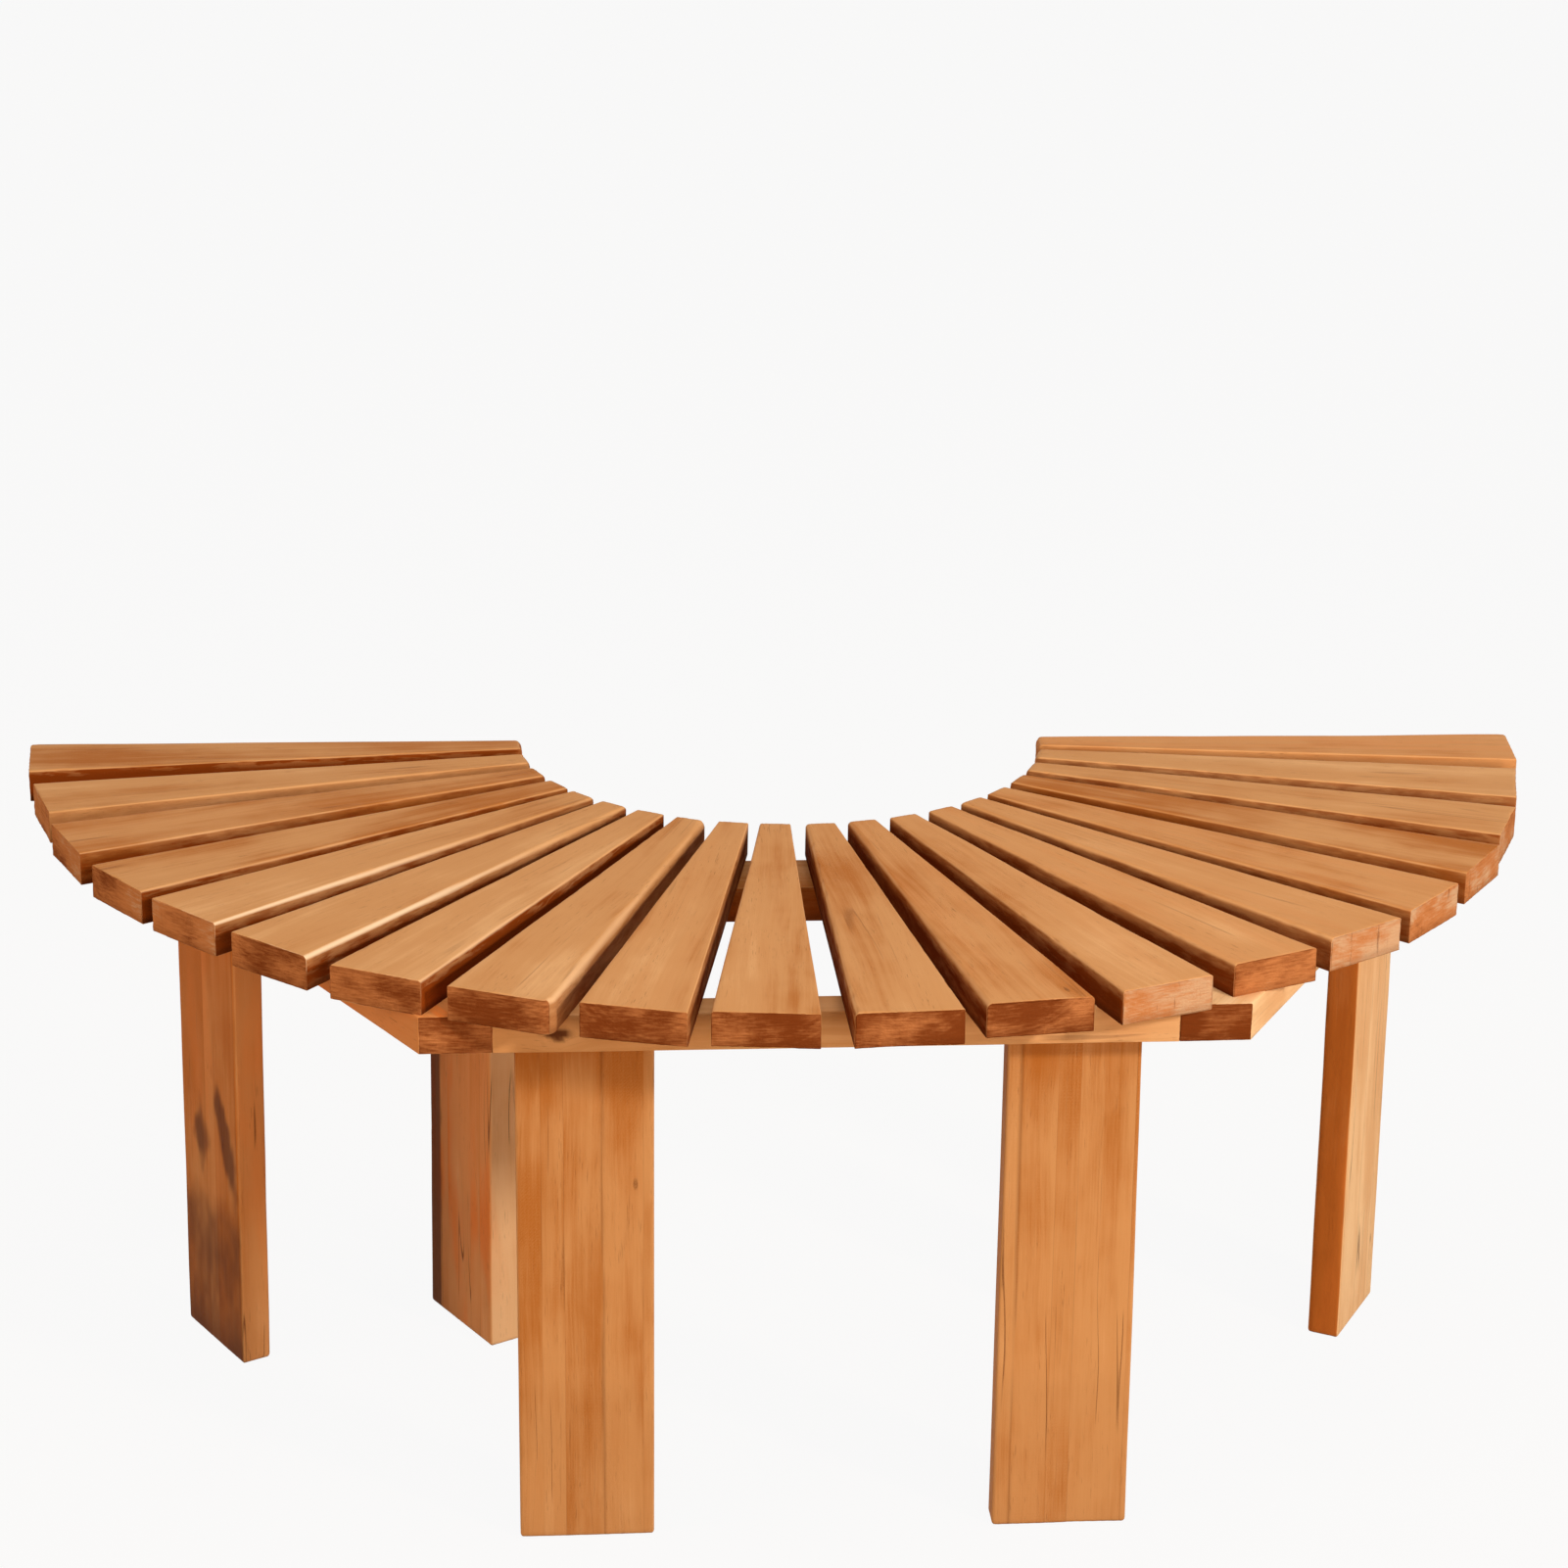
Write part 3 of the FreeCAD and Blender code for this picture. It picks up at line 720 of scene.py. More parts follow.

    # What lies on the face grain. Old stains follow the grain. The narrow faces are as the
    # saw left them, so they took more oil; their darkening low down and the umber line along
    # their bottom edge are painted shade in the gaps between the boards. Rubbed edges are pale,
    # and the lit right top edges of some slats carry a painted highlight.
    soak = add(tree, MATH, {0: steps["low"], 1: 0.35, 2: 0.35}, operation="MULTIPLY_ADD")
    for part, weight in ((steps["saw"], 0.35), (steps["spill"], 0.2)):
        soak = add(tree, MATH, {0: part, 1: weight, 2: soak}, operation="MULTIPLY_ADD")
    soaked_side = add(tree, MATH, {0: own["flank"], 1: own["soak"]}, operation="MULTIPLY")
    reddened = add(tree, MATH, {0: steps["flame"], 1: 0.6, 2: 0.4}, operation="MULTIPLY_ADD")
    products = {
        "flame": (reddened, own["redness"], 0.8),
        "pores": (steps["pore"], steps["pore_place"], 0.4),
        "checks": (steps["check"], steps["check_place"], 0.85 if stave_width else 0.35),
        "pins": (steps["pin"], steps["rare"], 0.6),
        "leg_marks": (own["stain"], 1.0, 0.9),
        "knot": (own["knot"], 1.0, 0.95),
        "soak": (soaked_side, soak, 1.0),
        "base": (soaked_side, steps["base"], 0.6),
        "rub": (add(tree, MATH, {0: own["edge"], 1: 2.0}, operation="POWER"),
                add(tree, MATH, {0: steps["rub"], 1: 0.4, 2: 0.1}, operation="MULTIPLY_ADD"),
                1.0),
        "bare": (own["bare"], 1.0, 1.0),
    }
    if stave_width:
        products["joints"] = (steps["joint"], steps["glue"], 0.35)
    layers = {}
    for key, (first, second, strength) in products.items():
        both = add(tree, MATH, {0: first, 1: second}, operation="MULTIPLY")
        layers[key] = add(tree, MATH, {0: both, 1: strength}, operation="MULTIPLY",
                          use_clamp=True)
        colour = {"soak": colours.soaked, "rub": colours.honey, "flame": colours.flame,
                  "bare": colours.bare}.get(key, colours.umber)
        face = add(tree, MIX, {0: layers[key], 6: face, 7: opaque(colour)}, 2,
                   data_type="RGBA")

    # Growth rings 3 mm apart about a heart that lies some way outside the board
    section = add(tree, VECTOR, {0: place, 1: (0.0, 1.0, 1.0)}, operation="MULTIPLY")
    heart = add(tree, VECTOR, {0: draw, 1: (0.0, 0.08, 0.05)}, operation="MULTIPLY")
    heart = add(tree, VECTOR, {0: heart, 1: (0.0, 0.04, -0.06)}, operation="SUBTRACT")
    radius = add(tree, VECTOR, {0: section, 1: heart}, "Value", operation="DISTANCE")
    radius = add(tree, MATH, {0: noises["blotch"], 1: 0.006, 2: radius},
                 operation="MULTIPLY_ADD")
    rings = add(tree, NOISE, {"W": radius, "Scale": 330.0, "Detail": 2.0}, "Fac",
                noise_dimensions="1D")
    slanting = add(tree, STRETCH, {"Vector": wood, "Scale": (200.0, 90.0, 700.0),
                                   "Rotation": (0.8, 0.0, 0.0)})
    strokes = add(tree, NOISE, {"Vector": slanting, "Scale": 1.0, "Detail": 2.0}, "Fac")
    wet = add(tree, MATH, {0: noises["blotch"], 1: 1.5, 2: -0.8}, operation="MULTIPLY_ADD")
    for part, weight in ((rings, 0.25), (noises["speck"], 0.25), (strokes, 0.6),
                         (own["end_tone"], 0.5)):
        wet = add(tree, MATH, {0: part, 1: weight, 2: wet}, operation="MULTIPLY_ADD")
    core = opaque(colours.end_dark)
    for low, high, colour in ((0.1, 0.75, colours.end_grain), (0.7, 1.15, colours.end_pale)):
        share = add(tree, RANGE, {"Value": wet, "From Min": low, "From Max": high},
                    interpolation_type="SMOOTHSTEP")
        core = add(tree, MIX, {0: share, 6: core, 7: opaque(colour)}, 2, data_type="RGBA")
    cracks = add(tree, MATH, {0: steps["crack"], 1: own["end_tone"]}, operation="MULTIPLY")
    # The lowest millimetres of every sawn end also get umber: a painted shadow line under the board
    cracks = add(tree, MATH, {0: steps["base"], 1: 0.35, 2: cracks}, operation="MULTIPLY_ADD")
    cracks = add(tree, MATH, {0: cracks, 1: 0.65}, operation="MULTIPLY", use_clamp=True)
    core = add(tree, MIX, {0: cracks, 6: core, 7: opaque(colours.umber)}, 2, data_type="RGBA")
    torn = add(tree, MATH, {0: noises["speck"], 1: 0.8, 2: own["end"]},
               operation="MULTIPLY_ADD")
    sawn_end = add(tree, RANGE, {"Value": torn, "From Min": 0.95, "From Max": 1.2},
                   interpolation_type="SMOOTHSTEP")
    colour = add(tree, MIX, {0: sawn_end, 6: face, 7: core}, 2, data_type="RGBA")

    shine = add(tree, MATH, {0: noises["hair"], 1: 0.16, 2: 0.42}, operation="MULTIPLY_ADD")
    for part, weight in ((layers["pores"], 0.3), (layers["soak"], 0.45), (sawn_end, 0.3)):
        shine = add(tree, MATH, {0: part, 1: weight, 2: shine}, operation="MULTIPLY_ADD")
    rough_end = add(tree, MATH, {0: sawn_end, 1: strokes}, operation="MULTIPLY")
    rough_flank = add(tree, MATH, {0: layers["soak"], 1: noises["saw"]}, operation="MULTIPLY")
    height = add(tree, MATH, {0: noises["hair"], 1: 0.35}, operation="MULTIPLY")
    for part, weight in ((noises["streak"], 0.3), (layers["pores"], -1.0),
                         (layers["checks"], -1.2), (layers["pins"], -0.8),
                         (layers["knot"], -1.5), (rough_end, 2.5), (rough_flank, 2.0),
                         (cracks, -1.5)):
        height = add(tree, MATH, {0: part, 1: weight, 2: height}, operation="MULTIPLY_ADD")
    relief = add(tree, "ShaderNodeBump", {"Height": height, "Distance": 0.0004,
                                          "Strength": 0.6})
    shader = add(tree, "ShaderNodeBsdfPrincipled",
                 {"Base Color": colour, "Roughness": shine, "IOR": 1.47,
                  "Specular IOR Level": 0.03, "Normal": relief})
    add(tree, "ShaderNodeOutputMaterial", {0: shader})
    return material


def bright_zinc(name):
    """Zinc-plated steel, bright passivated: a cool grey sheen that is slightly blurred, with
    fine drawing lines and a duller bloom in places."""
    colours = bpy.context.scene.bench_colours
    material, tree = new_material(name)
    place = add(tree, "ShaderNodeTexCoord", output="Object")
    # Plating crystals are microns wide; the bloom is drawn 2 mm wide so that it shows
    bloom = add(tree, NOISE, {"Vector": place, "Scale": 500.0, "Detail": 3.0}, "Fac")
    dull = add(tree, RANGE, {"Value": bloom, "To Min": 0.24, "To Max": 0.46})
    tint = add(tree, MIX, {0: bloom, 6: opaque(colours.zinc), 7: opaque(linear("#a9aaa4"))}, 2,
               data_type="RGBA")
    relief = add(tree, "ShaderNodeBump", {"Height": bloom, "Distance": 0.00005,
                                          "Strength": 0.4})
    shader = add(tree, "ShaderNodeBsdfPrincipled",
                 {"Base Color": tint, "Metallic": 1.0, "Roughness": dull, "Normal": relief})
    add(tree, "ShaderNodeOutputMaterial", {0: shader})
    return material


def beech_rod():
    """Beech dowel rod, turned and unfinished: pale, matt, with short dark flecks."""
    colours = bpy.context.scene.bench_colours
    material, tree = new_material("turned beech")
    place = add(tree, "ShaderNodeTexCoord", output="Object")
    # Ray flecks of beech are 0.3 mm wide and 3 mm long
    stretched = add(tree, STRETCH, {"Vector": place, "Scale": (1200.0, 1200.0, 300.0)})
    flecks = add(tree, NOISE, {"Vector": stretched, "Scale": 1.0, "Detail": 2.0}, "Fac")
    tint = add(tree, MIX, {0: flecks, 6: opaque(colours.beech), 7: opaque(linear("#b98b60"))},
               2, data_type="RGBA")
    relief = add(tree, "ShaderNodeBump", {"Height": flecks, "Distance": 0.0001})
    shader = add(tree, "ShaderNodeBsdfPrincipled",
                 {"Base Color": tint, "Roughness": 0.62, "IOR": 1.5, "Normal": relief})
    add(tree, "ShaderNodeOutputMaterial", {0: shader})
    return material


def wood_for(kind):
    """The material of one kind of board, made when it is first asked for."""
    name, stave_width = {
        "slat": ("oiled hardwood slats", 0.0),
        "rail": ("oiled hardwood rails", 0.0),
        "leg": ("oiled hardwood leg staves", 0.026),
    }[kind]
    return bpy.data.materials.get(name) or oiled_hardwood(name, stave_width)


def zinc_steel():
    """The screws' material, made when it is first asked for."""
    name = "bright zinc-plated steel"
    return bpy.data.materials.get(name) or bright_zinc(name)


# The pieces


class BENCH_OT_slats(bpy.types.Operator):
    """Twenty tapered seat boards that fan out around the trunk"""
    bl_idname = "bench.slats"
    bl_label = "Seat slats"

    def execute(self, context):
        sizes, wear = context.scene.bench_sizes, context.scene.bench_wear
        middle = CAD_BOX[1][2] - sizes.slat_thickness / 2.0
        under = wear.under_round
        for number, row in enumerate(SLATS, start=1):
            (tone, end_tone, soak, flame, bare, turn, wider, longer, slant, left,
             right) = row
            angle = slat_angle(number) + turn
            length = sizes.seat_radius - sizes.trunk_radius + longer * MM
            surface = board_surface(
                ends=((0.0, 0.0), (length, slant)),
                widths=(sizes.slat_inner_width, sizes.slat_outer_width + wider * MM),
                thickness=sizes.slat_thickness + 2.0 * wear.swelling,
                rounds=(left * MM, right * MM, under, under),
                end_rounds=((wear.inner_end_round, under, under), (wear.end_round,) * 3),
                wear=wear, seed=number, nicks=0.3 + soak,
                plan_rounds=PLAN_ROUNDS.get(number, PLAN_ROUNDS["others"]))
            # A slat is a little darker towards the trunk. The right top edge of some slats carries
            # a painted highlight, strongest near the outer end, where it catches the light from the
            # right.
            masks = surface[2]
            along, sideways, upwards = masks["place"].T
            planed = masks["edge"] * (sideways > 0.0) * (upwards > 0.0) * (1.0 - masks["end"])
            part = board_part(surface, facing(angle) * sizes.trunk_radius + UP * middle,
                              facing(angle), beside(angle), UP, board=number,
                              tone=tone + 0.8 * along, end_tone=end_tone, soak=soak,
                              redness=flame, bare=bare * planed * smooth_step(along, -0.12, 0.1))
            mesh = make_mesh("seat_slat_%02d" % number, [part])
            add_piece("seat_slat_%02d" % number, mesh, wood_for("slat"),
                      ["slat_%02d" % number])
        return {"FINISHED"}


def bay_line_crossing(angle, reach, front_reach):
    """Run, along a side bay's rail, at which the line at reach meets the front bay's line at
    front_reach. It solves reach * f + run * b = a point whose -Y is front_reach."""
    out, side = facing(angle), beside(angle)
    return (-front_reach - reach * out[1]) / side[1]


def side_rail_ends(angle, reach, width, front_face, back):
    """End lines of a side rail, as (run, slope), for its front and its back cut.

    Both cuts are planes of constant Y, so the run changes across the rail by the same slope
    all along the cut."""
    middle = reach - width / 2.0
    out, side = facing(angle), beside(angle)
    front = bay_line_crossing(angle, middle, front_face)
    rear = (-back - middle * out[1]) / side[1]
    slope = out[1] / side[1]
    cuts = sorted([front, rear])
    return (cuts[0], slope), (cuts[1], slope), middle


def knot_in(masks, centre):
    """Dark knot at a place of a board, as a share for each point. The grain parts around it:
    lines above it are read from lower in the wood and lines below it from higher."""
    away = masks["place"] - np.array(centre)
    ragged = 1.0 + 0.45 * soft_noise(masks["place"] * 260.0, 9)
    size = np.hypot(away[:, 0] / 0.0110, away[:, 2] / 0.0044) * ragged
    parting = np.exp(-(away[:, 0] / 0.022) ** 2) * (1.0 - np.exp(-(away[:, 2] / 0.005) ** 2))
    masks["place"][:, 2] -= np.sign(away[:, 2]) * 0.0060 * parting
    near_face = smooth_step(np.abs(away[:, 1]), 0.006, 0.002)
    return smooth_step(size, 1.3, 0.6) * near_face


def make_rails(prefix, nodes, reach, front_reach, width, front_width, seed, looks, soak):
    """Front rail and two side rails of one half-hexagon, butted at the corners. looks holds
    the tone of each rail's face and of its sawn ends, and how much red there is in it."""
    sizes, wear = bpy.context.scene.bench_sizes, bpy.context.scene.bench_wear
    height = CAD_BOX[1][2] - sizes.slat_thickness - sizes.rail_height / 2.0
    round_ = wear.under_round
    ends = ((wear.end_round,) * 3,) * 2
    for side, angle in SIDES.items():
        if side == "front":
            middle = front_reach - front_width / 2.0
            turn = math.radians(BAY_ANGLE)
            cosine, sine = math.cos(turn), math.sin(turn)
            runs = [(reach - width + RAIL_SHIFTS.get("%s_%s" % (prefix, end), 0.0) * MM
                     - middle * cosine) / sine for end in ("left", "right")]
            lines = ((-runs[0], -cosine / sine), (runs[1], cosine / sine))
            board_width = front_width
        else:
            shift = RAIL_SHIFTS.get("%s_%s" % (prefix, side), 0.0) * MM
            first, last, middle = side_rail_ends(angle, reach + shift, width, front_reach,
                                                 sizes.back_gap)
            lines = (first, last)
            board_width = width
        surface = board_surface(
            ends=lines, widths=(board_width, board_width), thickness=sizes.rail_height,
            rounds=(RAIL_TOP_ROUND, RAIL_TOP_ROUND, round_, round_), end_rounds=ends,
            wear=wear, seed=seed + int(angle), nicks=0.5)
        knot = 0.0
        if nodes % side == "outer_rail_front":
            knot = knot_in(surface[2], FRONT_KNOT)
        tone, end_tone, flame = looks[side]
        part = board_part(surface, facing(angle) * middle + UP * height, beside(angle),
                          -facing(angle), UP, board=seed + angle / BAY_ANGLE, tone=tone,
                          end_tone=end_tone, soak=soak, knot=knot, redness=flame)
        name = "%s_%s" % (prefix, side)
        mesh = make_mesh(name, [part])
        add_piece(name, mesh, wood_for("rail"), [nodes % side])


class BENCH_OT_outer_rails(bpy.types.Operator):
    """Outer half-hexagon of three rails under the slats' outer ends"""
    bl_idname = "bench.outer_rails"
    bl_label = "Outer rails"

    def execute(self, context):
        sizes = context.scene.bench_sizes
        make_rails("outer_board", "outer_rail_%s", sizes.side_reach, sizes.front_reach,
                   sizes.side_width, sizes.front_width, 131,
                   {"left": (-0.3, -0.5, 1.2), "front": (0.6, 0.0, 0.06),
                    "right": (1.9, -0.6, 0.0)}, 0.0)
        return {"FINISHED"}


class BENCH_OT_inner_rails(bpy.types.Operator):
    """Inner half-hexagon of three rails under the slats' inner ends"""
    bl_idname = "bench.inner_rails"
    bl_label = "Inner rails"

    def execute(self, context):
        sizes = context.scene.bench_sizes
        # The inner rails are darker and their faces take more of the dark narrow-face colour:
        # painted shade under the seat
        make_rails("inner_board", "inner_rail_%s", sizes.inner_reach, sizes.inner_reach,
                   sizes.inner_width, sizes.inner_width, 231,
                   {"left": (-0.6, 0.0, 0.0), "front": (-0.7, 0.0, 0.0),
                    "right": (-0.6, 0.0, 0.0)}, 0.7)
        return {"FINISHED"}


def rain_stain(place, seed, spotted, back):
    """Dark marks on a leg as a share for each point: a slanting dark streak near the front edge, a
    fainter spot beside it, a darker lower part and a dark foot, all with ragged borders.
    spotted is the share of the streak and the spot, and back that of a dark strip along the
    back edge."""
    upward, sideways = place[:, 0], place[:, 1]
    cloud = (0.6 * soft_noise(place * (30.0, 70.0, 60.0), seed)
             + 0.4 * soft_noise(place * (75.0, 190.0, 150.0), seed + 7))
    down, off = upward + 0.034, sideways + 0.030
    streak = np.exp(-(down / 0.058) ** 2 - ((off - 0.32 * down) / 0.013) ** 2)
    spot = 0.8 * np.exp(-((upward + 0.036) / 0.030) ** 2 - ((sideways - 0.017) / 0.016) ** 2)
    marks = smooth_step(np.maximum(streak, spot) + 0.35 * cloud, 0.35, 0.75)
    wet = smooth_step(upward + 0.012 * cloud, -0.075, -0.105)
    foot = smooth_step(upward + 0.02 * cloud, -0.180, -0.213)
    stave = back * smooth_step(sideways + 0.0015 * cloud, 0.0305, 0.0335)
    low = (0.6 * wet * (1.0 + 0.6 * cloud) + 0.3 * foot) * (1.0 - 0.9 * back)
    return np.clip(0.85 * spotted * marks + low + stave, 0.0, 1.0)


def leg_places():
    """Each leg's bay angle, the reach of its outer face and the run of its middle."""
    sizes = bpy.context.scene.bench_sizes
    return {
        "leg_front_left": (0.0, sizes.front_leg_reach, -sizes.front_leg_run),
        "leg_front_right": (0.0, sizes.front_leg_reach, sizes.front_leg_run),
        "leg_side_left": (-BAY_ANGLE, sizes.side_leg_reach, -sizes.side_leg_run),
        "leg_side_right": (BAY_ANGLE, sizes.side_leg_reach, sizes.side_leg_run),
        "leg_inner_left": (-BAY_ANGLE, sizes.inner_leg_reach, sizes.inner_leg_run),
        "leg_inner_right": (BAY_ANGLE, sizes.inner_leg_reach, -sizes.inner_leg_run),
    }


class BENCH_OT_legs(bpy.types.Operator):
    """Six plank legs glued up from upright staves"""
    bl_idname = "bench.legs"
    bl_label = "Plank legs"

    def execute(self, context):
        sizes, wear = context.scene.bench_sizes, context.scene.bench_wear
        top = CAD_BOX[1][2] - sizes.slat_thickness
        for number, (node, (angle, reach, run)) in enumerate(leg_places().items()):
            (foot_wider, top_wider, thicker, foot_right, top_right, foot_out,
             top_out) = (value * MM for value in LEG_SHAPES[node])
            tone, side_tone, stain, soak, flame, side_flame = LEG_LOOKS[node]
            surface = board_surface(
                ends=((0.0, 0.0), (top, 0.0)),
                widths=(sizes.leg_width + foot_wider, sizes.leg_width + top_wider),
                thickness=sizes.leg_thickness + thicker, rounds=(LEG_ROUND,) * 4,
                end_rounds=((LEG_FOOT_ROUND,) * 3, (LEG_TOP_ROUND,) * 3), wear=wear,
                seed=60 + number, nicks=0.5, saw=0.5)
            points, masks = surface[0], surface[2]
            side = masks["flank"]
            climb = points[:, 0] / top
            points[:, 1] -= foot_right + (top_right - foot_right) * climb
            points[:, 2] += foot_out + (top_out - foot_out) * climb
            origin = facing(angle) * (reach - sizes.leg_thickness / 2.0) + beside(angle) * run
            # A leg darkens over its top third as painted shade under the rails and the seat, and
            # its red grows towards the top
            part = board_part(surface, origin, UP, -beside(angle), facing(angle),
                              board=60 + number,
                              tone=tone + (side_tone - tone) * side
                              - 0.8 * smooth_step(climb, 0.7, 1.0),
                              end_tone=0.2, soak=soak,
                              redness=(flame + (side_flame - flame) * side)
                              * (0.7 + 0.6 * climb),
                              stain=stain * (1.0 - side)
                              * rain_stain(masks["place"], number, node == "leg_side_left",
                                           node == "leg_inner_left"))
            part[0][:, 2] = np.maximum(part[0][:, 2], 0.0)
            mesh = make_mesh("plank_" + node, [part])
            add_piece("plank_" + node, mesh, wood_for("leg"), [node])
        return {"FINISHED"}


def screw_surface(head, shank, length, sides=36):
    """Countersunk screw with a six-lobed recess, about its own axis; its head's face is z = 0
    and it points along +z.

    Rings of growing distance from the middle are carried round the axis. In the head's face
    a ring point sinks by the recess depth where it lies inside a star whose radius is
    r0 (1 + 0.2 cos 6a). The rim is eased by 0.2 mm, and cone, shank and point follow."""
    turn = np.linspace(0.0, 2 * math.pi, sides, endpoint=False)
    face_radii = np.array([0.04, 0.25, 0.42, 0.5, 0.58, 0.66, 0.8, 0.92]) * head / 2
    star = 0.52 * head / 2 * (1 + 0.2 * np.cos(6 * turn))
    depth = smooth_step(star[None, :] / face_radii[:, None], 0.97, 1.12) * head * RECESS_DEPTH
    radii = [np.full(sides, r) for r in face_radii]
    heights = list(depth)
    for r, z in ((head / 2 - 0.00012, 0.00005), (head / 2, 0.0002),
                 (shank / 2, head / 2 - shank / 2), (shank / 2, length - 0.004),
                 (0.0004, length)):
        radii.append(np.full(sides, r))
        heights.append(np.full(sides, z))
    radii, heights = np.array(radii), np.array(heights)
    points = np.stack([radii * np.cos(turn), radii * np.sin(turn), heights], axis=-1)
    rows = len(radii)
    numbers = np.arange(rows * sides).reshape(rows, sides)
    around = np.concatenate([numbers, numbers[:, :1]], axis=1)
    points = np.concatenate([points.reshape(-1, 3), [[0, 0, head * RECESS_DEPTH]],
                             [[0, 0, length]]])
    fan_0 = np.stack([numbers[0], np.roll(numbers[0], -1), np.full(sides, rows * sides)], axis=1)
    fan_1 = np.stack([np.roll(numbers[-1], -1), numbers[-1],
                      np.full(sides, rows * sides + 1)], axis=1)
    return points, quads(around), fan_0, fan_1


def make_screws(name, node, places, head, shank, length):
    """All screws of one CAD node as one piece. Places are (origin, direction)."""
    points, body, fan_0, fan_1 = screw_surface(head, shank, length)
    triangles = np.concatenate([body[:, [0, 1, 2]], body[:, [0, 2, 3]], fan_0[:, ::-1],
                                fan_1[:, ::-1]])
    parts = []
    for origin, direction in places:
        reference = UP if abs(direction[2]) < 0.5 else np.array([1.0, 0.0, 0.0])
        first = np.cross(reference, direction)
        first /= np.linalg.norm(first)
        second = np.cross(direction, first)
        start = origin - direction * SCREW_PROUD
        parts.append((set_down(points, start, first, second, direction), triangles, {}))
    mesh = make_mesh(name, parts)
    add_piece(name, mesh, zinc_steel(), [node])


def slat_screw_places(front_line, side_line, height):
    """Where the screw line of a rail frame crosses each slat's centre line."""
    places = []
    for number in range(1, len(SLATS) + 1):
        angle = slat_angle(number)
        front = abs(angle) < BAY_ANGLE / 2.0
        bay = 0.0 if front else math.copysign(BAY_ANGLE, angle)
        reach = (front_line if front else side_line) / math.cos(math.radians(angle - bay))
        places.append((facing(angle) * reach + UP * height, UP))
    return places


class BENCH_OT_slat_screws(bpy.types.Operator):
    """Forty screws driven up through the rails into the slats"""
    bl_idname = "bench.slat_screws"
    bl_label = "Slat screws"

    def execute(self, context):
        sizes = context.scene.bench_sizes
        height = CAD_BOX[1][2] - sizes.slat_thickness - sizes.rail_height
        make_screws("rail_screws_outer", "slat_screws_outer",
                    slat_screw_places(sizes.front_reach - OUTER_SCREW_INSET,
                                      sizes.side_reach - OUTER_SCREW_INSET, height),
                    *SLAT_SCREW)
        inner_line = sizes.inner_reach - sizes.inner_width + INNER_SCREW_INSET
        make_screws("rail_screws_inner", "slat_screws_inner",
                    slat_screw_places(inner_line, inner_line, height), *SLAT_SCREW)
        return {"FINISHED"}


class BENCH_OT_leg_screws(bpy.types.Operator):
    """Twelve screws that hold the legs to the rails"""
    bl_idname = "bench.leg_screws"
    bl_label = "Leg screws"

    def execute(self, context):
        sizes = context.scene.bench_sizes
        height = CAD_BOX[1][2] - sizes.slat_thickness - sizes.rail_height / 2.0
        for group in ("front", "side", "inner"):
            places = []
            for end in ("left", "right"):
                angle, reach, run = leg_places()["leg_%s_%s" % (group, end)]
                sign = -1.0 if group == "inner" else 1.0
                if group != "inner":
                    reach -= sizes.leg_thickness
                places += [(facing(angle) * reach + beside(angle) * (run + offset) + UP * height,
                            facing(angle) * sign) for offset in LEG_SCREW_OFFSETS]
            make_screws("plank_screws_" + group, "leg_screws_" + group, places, *LEG_SCREW)
        return {"FINISHED"}


class BENCH_OT_dowels(bpy.types.Operator):
    """Finish of the dowels inside the corners of the two rail frames"""
    bl_idname = "bench.dowels"
    bl_label = "Corner dowels"

    def execute(self, context):
        beech = beech_rod()
        for node in ("outer_corner_dowels", "inner_corner_dowels"):
            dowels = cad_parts[node]
            dowels.data.materials.clear()
            dowels.data.materials.append(beech)
        return {"FINISHED"}


# The stage


def white_for_camera(tree, shader, colour, share):
    """Show a plain colour to the camera and in reflections, mixed with a lit shader."""
    seen = add(tree, "ShaderNodeLightPath", output="Is Camera Ray")
    for kind in ("Is Glossy Ray", "Is Transmission Ray"):
        path = add(tree, "ShaderNodeLightPath", output=kind)
        seen = add(tree, MATH, {0: seen, 1: path}, operation="MAXIMUM")
    factor = add(tree, MATH, {0: seen, 1: share}, operation="MULTIPLY")
    glow = add(tree, "ShaderNodeEmission", {"Color": colour, "Strength": 1.0})
    return add(tree, "ShaderNodeMixShader", {0: factor, 1: shader, 2: glow})


def soft_lamp(name, bearing, rise, distance, width, height, power, colour):
    """Area lamp that looks at the middle of the bench. Bearing is in degrees from the front
    towards the right, and rise in degrees above the level of the seat."""
    light = bpy.data.lights.new(name, "AREA")
    light.shape, light.size, light.size_y = "RECTANGLE", width, height
    light.energy, light.color = power, colour
    turn = math.radians(rise)
    away = facing(bearing) * math.cos(turn) + UP * math.sin(turn)
    lamp = bpy.data.objects.new(name, light)
    lamp.location = away * distance + np.array([0.0, 0.0, 0.4])
    lamp.rotation_euler = Vector(-away).to_track_quat("-Z", "Y").to_euler()
    bpy.context.scene.collection.objects.link(lamp)


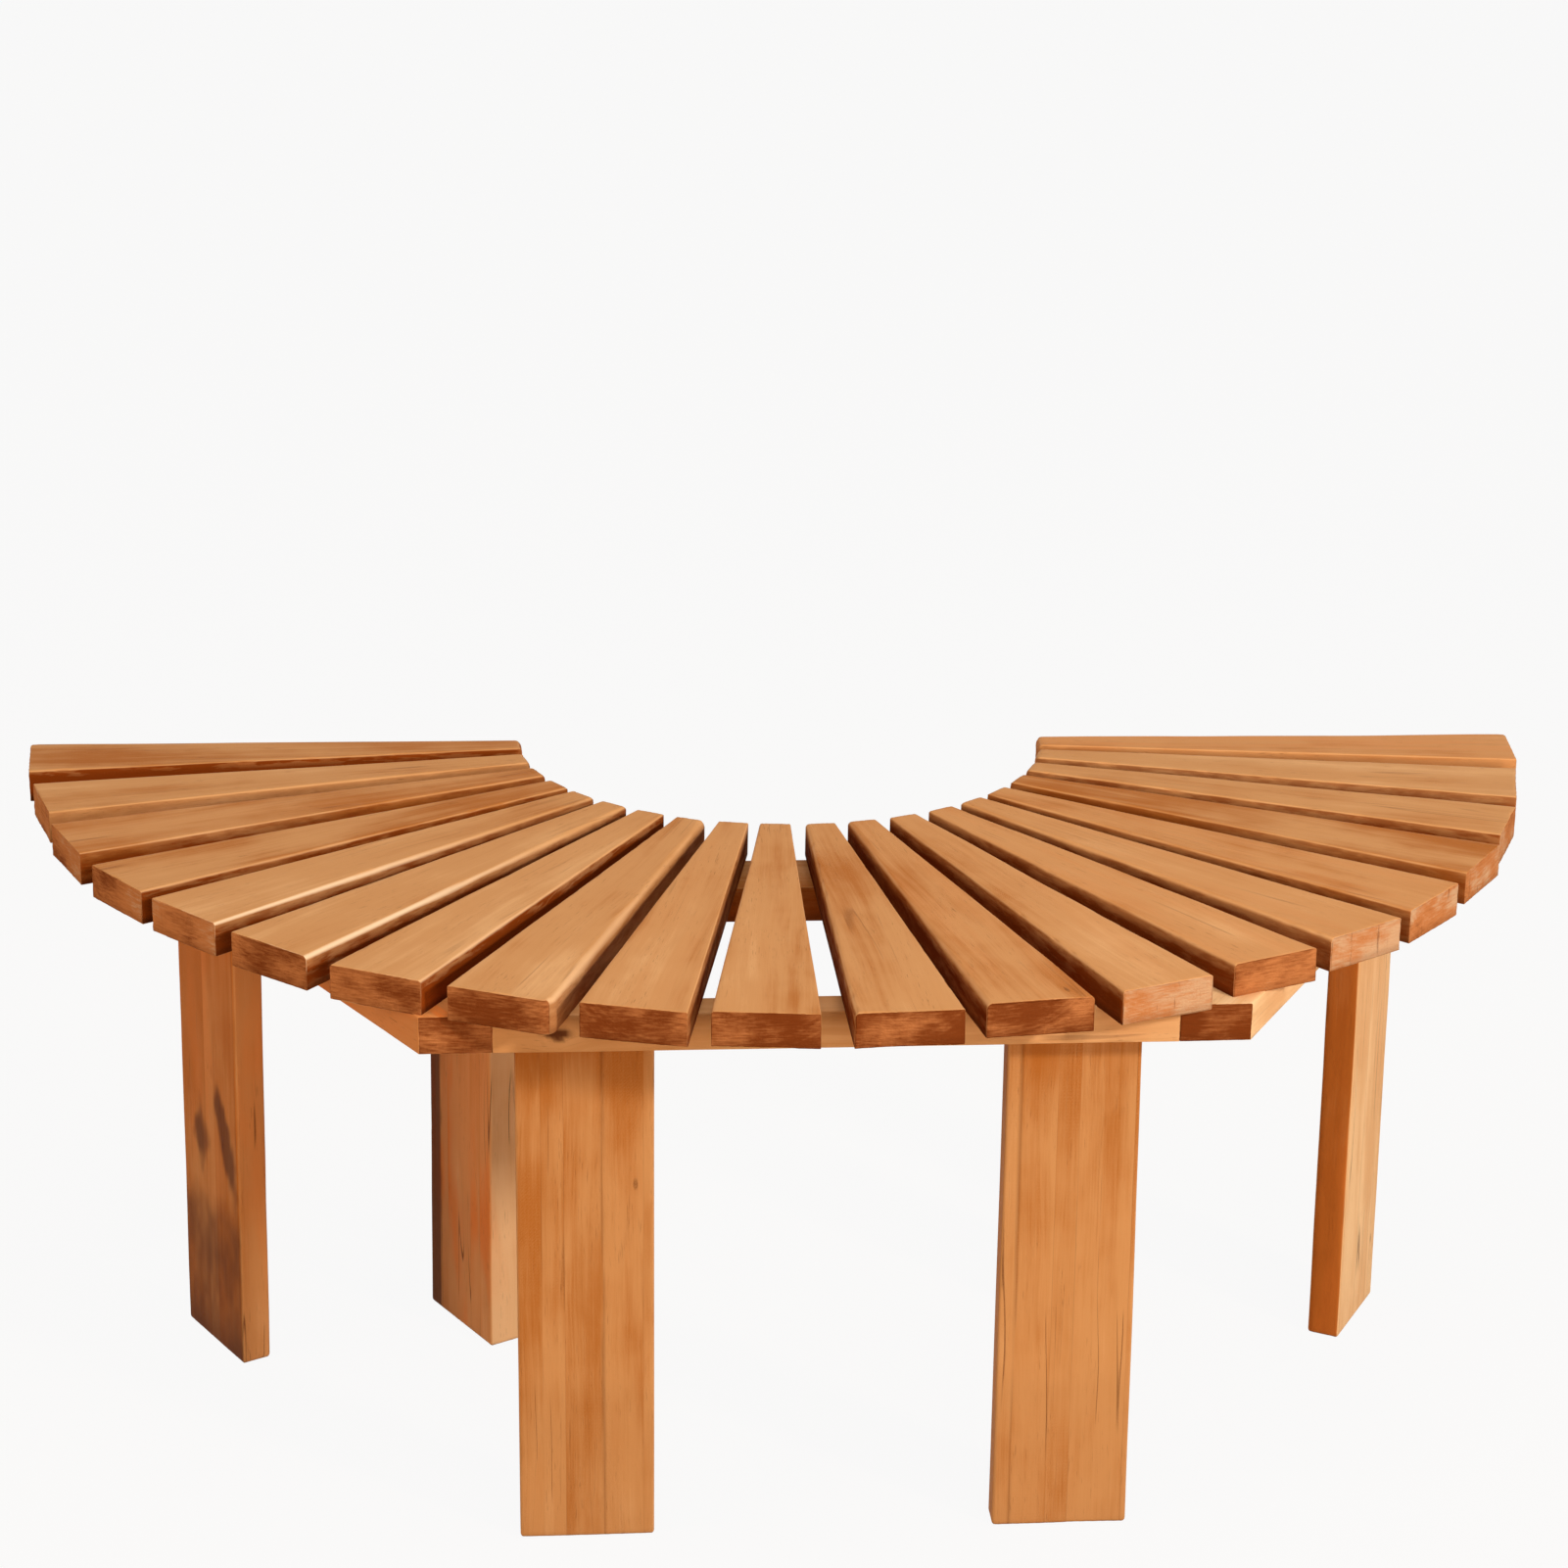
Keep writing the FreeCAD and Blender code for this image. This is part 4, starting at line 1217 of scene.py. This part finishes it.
class BENCH_OT_stage(bpy.types.Operator):
    """Pale floor, soft studio light and the camera"""
    bl_idname = "bench.stage"
    bl_label = "Studio"

    def execute(self, context):
        scene = context.scene
        stage, colours = scene.bench_stage, scene.bench_colours
        scene.view_settings.view_transform = "Standard"

        material, tree = new_material("matt studio floor")
        place = add(tree, "ShaderNodeTexCoord", output="Object")
        grain = add(tree, NOISE, {"Vector": place, "Scale": 3.0, "Detail": 2.0}, "Fac")
        tint = add(tree, MIX, {0: grain, 6: opaque(colours.floor),
                               7: opaque(linear("#a8937a"))}, 2, data_type="RGBA")
        lit = add(tree, "ShaderNodeBsdfPrincipled", {"Base Color": tint, "Roughness": 0.9})
        shown = white_for_camera(tree, lit, opaque(colours.backdrop), FLOOR_WHITE)
        add(tree, "ShaderNodeOutputMaterial", {0: shown})
        half = FLOOR_HALF
        floor_mesh = bpy.data.meshes.new("studio_floor")
        floor_mesh.from_pydata([(-half, -half, 0), (half, -half, 0), (half, half, 0),
                                (-half, half, 0)], [], [(0, 1, 2, 3)])
        floor_mesh.materials.append(material)
        floor = bpy.data.objects.new("studio_floor", floor_mesh)
        scene.collection.objects.link(floor)

        world = bpy.data.worlds.new("studio")
        scene.world = world
        world.use_nodes = True
        tree = world.node_tree
        tree.nodes.clear()
        even = add(tree, "ShaderNodeBackground",
                   {0: (1.0, 1.0, 1.0, 1.0), 1: stage.world_level})
        shown = white_for_camera(tree, even, opaque(colours.backdrop), 1.0)
        add(tree, "ShaderNodeOutputWorld", {0: shown})

        # A small softbox at the right, as the pale strips on the slats' flanks show
        soft_lamp("key softbox", 45.0, 26.0, 3.6, 0.3, 0.35, stage.key_power,
                  (1.0, 0.96, 0.91))
        soft_lamp("fill softbox", -64.0, 18.0, 3.4, 1.8, 1.8, stage.fill_power,
                  (1.0, 0.82, 0.62))
        soft_lamp("front softbox", 18.0, 9.0, 3.4, 1.6, 0.8, stage.front_power,
                  (1.0, 0.9, 0.78))
        soft_lamp("top softbox", 20.0, 80.0, 2.6, 1.6, 1.6, stage.top_power,
                  (1.0, 0.99, 0.97))

        yaw, pitch, roll = stage.camera_yaw, stage.camera_pitch, stage.camera_roll
        ahead = Vector((math.sin(yaw) * math.cos(pitch), math.cos(yaw) * math.cos(pitch),
                        -math.sin(pitch)))
        right = Vector((math.cos(yaw), -math.sin(yaw), 0.0))
        over = right.cross(ahead)
        level_right = right * math.cos(roll) + over * math.sin(roll)
        level_over = over * math.cos(roll) - right * math.sin(roll)
        data = bpy.data.cameras.new("camera")
        data.sensor_width, data.lens = 36.0, stage.camera_lens
        camera = bpy.data.objects.new("camera", data)
        axes = Matrix((level_right, level_over, -ahead)).transposed().to_4x4()
        camera.matrix_world = Matrix.Translation(Vector(stage.camera_place)) @ axes
        scene.collection.objects.link(camera)
        scene.camera = camera
        return {"FINISHED"}


# The add-on


OPERATORS = (BENCH_OT_slats, BENCH_OT_outer_rails, BENCH_OT_inner_rails, BENCH_OT_legs,
             BENCH_OT_slat_screws, BENCH_OT_leg_screws, BENCH_OT_dowels, BENCH_OT_stage)


class BENCH_PT_panel(bpy.types.Panel):
    """Sidebar panel that lists the bench's pieces and its sizes"""
    bl_idname = "BENCH_PT_panel"
    bl_label = "Tree bench"
    bl_space_type = "VIEW_3D"
    bl_region_type = "UI"
    bl_category = "Bench"

    def draw(self, context):
        for operator in OPERATORS:
            self.layout.operator(operator.bl_idname)
        for group in ("bench_sizes", "bench_wear", "bench_colours", "bench_stage"):
            box = self.layout.box()
            settings = getattr(context.scene, group)
            for key in settings.__annotations__:
                box.prop(settings, key)


GROUPS = {"bench_sizes": BENCH_PG_sizes, "bench_wear": BENCH_PG_wear,
          "bench_colours": BENCH_PG_colours, "bench_stage": BENCH_PG_stage}


def register():
    for group in GROUPS.values():
        bpy.utils.register_class(group)
    for key, group in GROUPS.items():
        setattr(bpy.types.Scene, key, bpy.props.PointerProperty(type=group))
    for operator in OPERATORS:
        bpy.utils.register_class(operator)
    bpy.utils.register_class(BENCH_PT_panel)


def unregister():
    bpy.utils.unregister_class(BENCH_PT_panel)
    for operator in reversed(OPERATORS):
        bpy.utils.unregister_class(operator)
    for key, group in GROUPS.items():
        delattr(bpy.types.Scene, key)
        bpy.utils.unregister_class(group)


def main():
    register()
    bpy.ops.bench.slats()
    bpy.ops.bench.outer_rails()
    bpy.ops.bench.inner_rails()
    bpy.ops.bench.legs()
    bpy.ops.bench.slat_screws()
    bpy.ops.bench.leg_screws()
    bpy.ops.bench.dowels()
    bpy.ops.bench.stage()


if __name__ == "__main__":
    main()
